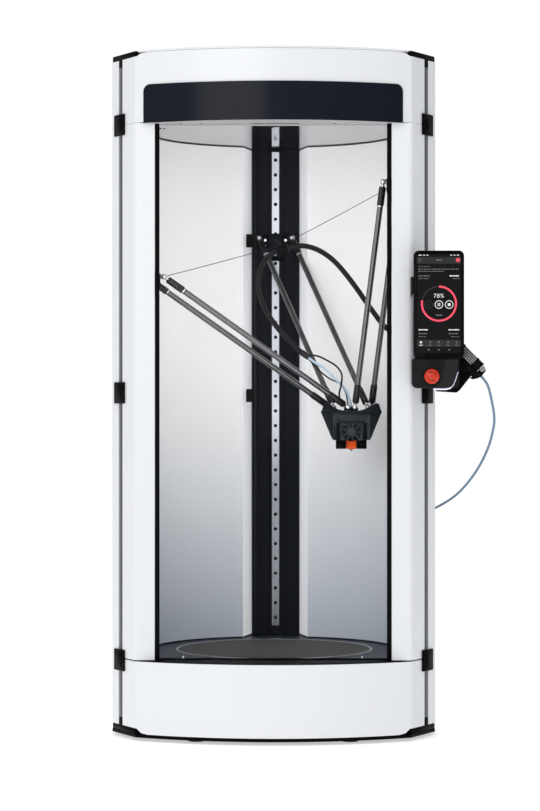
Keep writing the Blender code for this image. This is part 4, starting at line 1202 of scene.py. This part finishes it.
def tile(x0, x1, z0, z1, radius=0.4, depth=0.05):
    """Bar on the screen, measured from the screen's middle, that stands out by depth."""
    outline = rounded(SCREEN_X + x0, SCREEN_X + x1, SCREEN_Z + z0, SCREEN_Z + z1,
                      min(radius, (z1 - z0) / 2.01), 4)
    return upright("tile", outline, SCREEN_FACE - depth, SCREEN_FACE + 0.3)


def disc(x, z, radius, depth=0.12):
    outline = arc((SCREEN_X + x, SCREEN_Z + z), radius, 90, -270, 60)[:-1]
    return upright("disc", outline, SCREEN_FACE - depth, SCREEN_FACE + 0.2)


def ring(x, z, outer, inner, start=0.0, sweep=360.0, depth=0.12):
    """Ring, or a part of one, that runs clockwise from an angle past the top."""
    front, back, first = SCREEN_FACE - depth, SCREEN_FACE + 0.2, 90 - start
    steps, centre = max(8, int(sweep / 6)), (SCREEN_X + x, SCREEN_Z + z)
    edges = [arc(centre, r, first, first - sweep, steps) for r in (outer, inner)]
    rows = [[(ax, front, az), (bx, front, bz), (bx, back, bz), (ax, back, az)]
            for (ax, az), (bx, bz) in zip(*edges)]
    closed = sweep >= 360
    return skin(rows[:-1] if closed else rows, "ring", close=closed)


def words(x0, x1, z, height):
    """A line of bars as long as words."""
    lengths, start, pieces = (4.6, 2.4, 5.8, 3.2, 1.8, 6.4), x0, []
    while start < x1 - 0.8:
        end = min(start + lengths[len(pieces) % len(lengths)], x1)
        pieces.append(tile(start, end, z - height / 2, z + height / 2, 0.3))
        start = end + 0.7
    return pieces


def screen_pieces():
    """Pairs of a piece and its finish, from the status line down to the round keys."""
    left, right, whole_screen = -33.2, 33.6, (-73.4, 77)
    made = [(tile(left, right, *whole_screen, 4, 0.02), "ui_back")]

    def put(finish, *pieces):
        made.extend((piece, finish) for piece in pieces)

    for x0, x1 in ((-31, -26), (-24, -21), (-19, -16), (17, 20), (22, 25), (27, 30.5)):
        put("ui_white", tile(x0, x1, 74.4, 75.6))
    put("ui_bar", tile(left, right, 62, 72.2, 0.3))
    put("ui_white", tile(-4.2, 4.2, 66.6, 68.6))
    for k in range(3):
        put("ui_dim", tile(-31, -27, 65.8 + 1.6 * k, 66.4 + 1.6 * k, depth=0.09))
    put("ui_pink", disc(28.8, 67.7, 3.1))
    put("ui_dim", *words(-31.4, -13, 57.8, 0.8), *words(-31.4, 30.8, 53.8, 1.1),
        *words(-31.4, 7.5, 50.5, 1.1))
    put("ui_dim", *words(-31.4, -14, 43.5, 1.5))
    put("ui_white", *words(16, 31.4, 43.5, 1.7))
    put("ui_dim", *words(-31.4, -15.5, 39.5, 1.0), *words(21, 31.4, 39.5, 1.0))
    put("ui_pink", ring(0, 1.4, 27.4, 24.4, 0, 281))
    put("ui_bar", ring(0, 1.4, 27.0, 24.8, 284, 73))
    for x, finish in ((0, "ui_white"), (15.5, "ui_white"), (-15.7, "ui_bar")):
        put(finish, ring(x, 0, 6.4, 5.3))
    put("ui_white", tile(-1.9, -0.6, -2.4, 2.4, 0.2), tile(0.6, 1.9, -2.4, 2.4, 0.2))
    put("ui_white", tile(13.4, 17.6, -2.1, 2.1, 0.3))
    put("ui_bar", tile(-16.8, -14.6, -1.2, 1.2, 0.3, 0.09))
    put("ui_dim", tile(-5, 5, -16.9, -15.3))
    for x0, x1, last_x0, last_x1 in ((-31, -17, -31, -20), (14.5, 30.8, 18.5, 30.8)):
        put("ui_white", *words(x0, x1, -38.3, 1.7))
        put("ui_dim", *words(x0, x1 - 1, -44.1, 1.4), *words(last_x0, last_x1, -48.9, 1.0))
    put("ui_bar", tile(left, right, -64, -53.4, 0.3))
    for i, x in enumerate((-27.3, -13.4, -0.2, 13.7, 27)):
        put("ui_dim" if i else "ui_white", disc(x, -57.2, 1.4 if i else 1.7),
            tile(x - 2.6, x + 2.6, -62.2, -61.2, depth=0.09))
    put("ui_dim", *(disc(x, -68.6, 1.3) for x in (-15.7, -0.2, 15.7)))
    return made


def number_text(text, x, y, z, height, finish):
    """Raised digits as a mesh, facing the front."""
    font = bpy.data.curves.new("digits", "FONT")
    font.body = text
    font.size = height * MM
    font.extrude = 0.05 * MM
    font.align_x = "CENTER"
    font.space_character = 1.12
    made = linked("digits", font)
    bpy.context.view_layer.update()
    mesh = bpy.data.meshes.new_from_object(made.evaluated_get(bpy.context.evaluated_depsgraph_get()))
    bpy.data.objects.remove(made)
    return painted(place(linked("digits", mesh), (x, y, z), (90, 0, 0)), finish)


# ---------------------------------------------------------------- filament drive and back

def make_drive():
    """Filament drive beside the dock: arm, gearbox, rib, lever, round bosses and the tube's nut."""
    front, back, forward = DRIVE_FRONT, DRIVE_FRONT + 27, (90, 0, 0)
    arm = [(250, 535.2), (280.6, 533.2), (286, 537.4), (303, 559), (296, 566), (284, 556), (276, 560),
           (262, 560), (250, 552)]
    gearbox = [(276, 560.4), (284, 556.4), (296, 566.4), (303, 559.2), (308, 556.7), (321.6, 561.6),
               (325.6, 567), (322.6, 574.6), (312.8, 564.9), (284, 593.8), (255, 594.2), (252, 578),
               (262, 560.4)]
    rib = [(281.5, 538), (300.5, 561), (298, 563), (279, 540)]
    lever = [(301, 556.4), (306, 553.6), (314, 555.4), (317, 558.6), (311, 559.4)]
    parts = [
        upright("arm", raised(arm), front + 3, back - 4, 1.2),
        upright("gearbox", raised(gearbox), front + 1, back, 1.2),
        upright("rib", raised(rib), front + 1.6, front + 5, 0.6),
    ]
    for x, z, r in ((268, 581, 5), (299, 570.4, 3.4), (313, 561, 2.6)):
        boss = lathe("boss", [(0, 0), (r, 0), (r, 1.6), (r - 0.6, 2.2), (r * 0.4, 2.2), (r * 0.4, 1.2),
                              (0, 1.2)], 24)
        parts.append(painted(place(boss, (x, front + 1.2, up(z)), forward), "charcoal"))
    disc = lathe("disc", [(0, 0), (4.4, 0), (4.4, 1.8), (3.6, 2.6), (1.4, 2.6), (1.4, 1.8), (0, 1.8)], 28)
    parts.append(painted(place(disc, (319.6, front + 1.2, up(569.6)), forward), "motor"))
    parts.append(upright("lever", raised(lever), front + 4, back - 4, 0.8))
    fit(joined("extruder_housing", parts, "plastic"), stands_for=["extruder_body"])
    nut = lathe("tube_nut", [(2.1, 0), (4.2, 0), (4.2, 5), (3.4, 6), (2.1, 6)], 6)
    place(nut, (315.4, front + 13.4, up(563.2)), (0, 142, 0))
    fit(nut, finish="charcoal")
    make_drive_motor()


def make_drive_motor():
    """Drive motor, turned 45 degrees: bright fins over a dark core that is painted shade in the gaps
    between them, ribs, two ends and screws.
    """
    # The core is painted black: painted shade that shows in the gaps between the fins.
    parts = [painted(upright("core", rectangle(-20.6, 19.4, -7.0, 7.0), 1.2, 39, 0.3), "plastic")]
    for k in range(5):
        z = -6.4 + 3.2 * k
        parts.append(upright("fin", rectangle(-20.2, 8.6, z - 1.0, z + 1.0), 0.2, 39.6, 0.3))
    for k in range(3):
        rib = upright("rib", rectangle(10.4 + 2.8 * k, 12.2 + 2.8 * k, -7.8, 7.8), 0.5, 39.4, 0.3)
        parts.append(painted(rib, "charcoal"))
    for x0, x1, finish in ((-21.7, -20.4, "motor"), (19.0, 21.7, "plastic")):
        parts.append(painted(upright("end", rounded(x0, x1, -8, 8, 0.6), 0, 40, 0.5), finish))
    # The screws are painted near black like the holes: painted shade.
    for x, z in ((-19.5, 6.6), (9.6, 6.4), (9.6, -6.4)):
        parts.append(socket_screw(1.7, 2.4, (x, 0.4, z), (90, 0, 0), "hole"))
    motor = place(joined("extruder_motor_stack", parts, "motor"), (302, DRIVE_FRONT, up(586.8)), (0, 45, 0))
    fit(motor, stands_for=["extruder_motor"])


def make_spool_mount():
    """Bolted plate with a tube guide and an axle, and the spool hub on the axle, on the right side."""
    out, angle, axle_height = SIDE_RADIUS - SIDE_CENTRE + 0.5, 30.0, up(420)
    outward = (0, 90, 0)
    axle = lathe("axle", [(0, out + 3), (5, out + 3), (5, out + 62.6), (8.6, out + 63), (8.9, out + 66.4),
                          (7, out + 66.9), (0, out + 66.9)], 28)
    parts = [
        prism("plate", rectangle(out, out + 6, -20, 20), up(325.2), up(449.8), 2.2),
        prism("guide", rectangle(out + 4, out + 41.8, -5.8, 3.8), up(329.2), up(344.8), 1.2),
        place(axle, (0, 0, axle_height), outward),
    ]
    for along in (-14, 14):
        for z in (up(362), up(440)):
            parts.append(socket_screw(3.4, 2.6, (out + 5.8, along, z), outward))
    bracket = place(joined("spool_bracket_shape", parts, "plastic"), rotation=(0, 0, angle))
    fit(bracket, stands_for=["spool_bracket"])
    profile = [(5.4, out + 9), (25.6, out + 9), (26, out + 9.6), (26, out + 11.4), (22, out + 14),
               (21.8, out + 60.6), (20.6, out + 62), (14, out + 62), (14, out + 56), (5.4, out + 56)]
    hub = place(lathe("spool_hub_shape", profile, 64), (0, 0, axle_height), (0, 90, angle))
    fit(hub, "spool_hub", "dock", ["spool_hub"])


def make_inlet():
    """Mains inlet with three blades in its socket, on the flat back face."""
    back, middle = CORNER_FACE + 0.4, 23.75
    body = prism("body", rounded(9.6, 37.9, back, back + 2.4, 0.8), up(40.2), up(89.8), 0.6)
    outer = rounded(12.3, 35.2, up(47.6), up(79.4), 3)
    inner = rounded(14.6, 32.9, up(50.2), up(76.8), 2)
    loops = ((outer, back + 2), (outer, back + 9.9), (inner, back + 9.9), (inner, back + 2))
    parts = [body, skin([[(x, y, z) for x, z in loop] for loop, y in loops], "collar", 0.4, close=True)]
    for x, z in ((middle, up(70.5)), (18.6, up(58.5)), (28.9, up(58.5))):
        blade = prism("blade", rectangle(x - 2, x + 2, back + 2, back + 8), z - 1, z + 1, 0.3)
        parts.append(painted(blade, "steel"))
    for z in (up(43.8), up(84.6)):
        parts.append(socket_screw(2.4, 1.8, (middle, back + 2.2, z), (-90, 0, 0)))
    fit(joined("power_inlet_socket", parts, "plastic"), stands_for=["power_inlet"])


def make_base_contents():
    for side in TOWERS:
        painted(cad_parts[f"drive_motor_{side}"], "motor")
        painted(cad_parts[f"drive_pulley_{side}"], "aluminium")
    painted(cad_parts["power_supply"], "aluminium")
    painted(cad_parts["control_board"], "board")


# ---------------------------------------------------------------- stage

def make_stage():
    """Pale floor, world and three lamps; the last lamp lights the chamber from its door."""
    size, height = 14.0, up(0) * MM - 0.0002
    mesh = bpy.data.meshes.new("floor")
    mesh.from_pydata([(x, y, height) for x, y in rectangle(-size, size, -size, size)], [], [(0, 1, 2, 3)])
    floor = linked("floor", mesh)
    pale = look("pale_floor", (0.9, 0.9, 0.905), 0.7, tone=0.01, bump=0, cloud=1.0, specular=0.1)
    mesh.materials.append(glow(pale, (1, 1, 1), 0.52))
    make_world()
    bpy.context.scene.view_settings.view_transform = "Standard"
    lamps = (
        ("key", (-1.2, -3.8, 1.7), (0, 0, 0.4), (2.0, 2.6), 32),
        ("fill", (0.4, -3.4, 2.9), (0, 0, 0.4), (2.0, 1.2), 12),
        ("chamber", (0, -0.162, 0.58), (0, 0.3, 0.58), (0.33, 0.52), 1.12),
    )
    for name, at, aim, sizes, power in lamps:
        data = bpy.data.lights.new(name, "AREA")
        data.shape = "RECTANGLE"
        data.size, data.size_y = sizes
        data.energy = power
        lamp = linked(name, data)
        lamp.location = at
        lamp.rotation_euler = (Vector(aim) - Vector(at)).to_track_quat("-Z", "Y").to_euler()
        lamp.visible_camera = False


def make_world():
    """White backdrop for the camera over a softer surround, dimmer at the right, that lights the part."""
    world = bpy.data.worlds.new("studio")
    bpy.context.scene.world = world
    world.use_nodes = True
    tree = world.node_tree
    surround, output = tree.nodes["Background"], tree.nodes["World Output"]
    axes = node(tree, "SeparateXYZ", {"Vector": node(tree, "TexCoord").outputs["Generated"]})
    fall = node(tree, "MapRange", {"From Min": 0.0, "From Max": 0.9, "To Min": 0.66, "To Max": 0.36,
                                   "Value": axes.outputs["X"]})
    surround.inputs["Color"].default_value = (0.97, 0.985, 1, 1)
    connect(tree, surround.inputs["Strength"], fall.outputs["Result"])
    backdrop = node(tree, "Background", {"Color": (1, 1, 1, 1), "Strength": 1.02})
    choice = node(tree, "MixShader", {"Fac": node(tree, "LightPath").outputs["Is Camera Ray"],
                                      1: surround.outputs["Background"], 2: backdrop.outputs["Background"]})
    connect(tree, output.inputs["Surface"], choice.outputs["Shader"])


def main():
    make_camera()
    make_filament_tube()
    make_shell()
    make_band()
    make_caps()
    make_clips()
    make_chamber()
    make_towers()
    make_carriages()
    make_arms()
    make_effector()
    make_hot_end()
    make_fan()
    make_hoses()
    make_clamp()
    make_door()
    make_dock()
    make_phone()
    make_drive()
    make_spool_mount()
    make_inlet()
    make_base_contents()
    make_stage()


main()
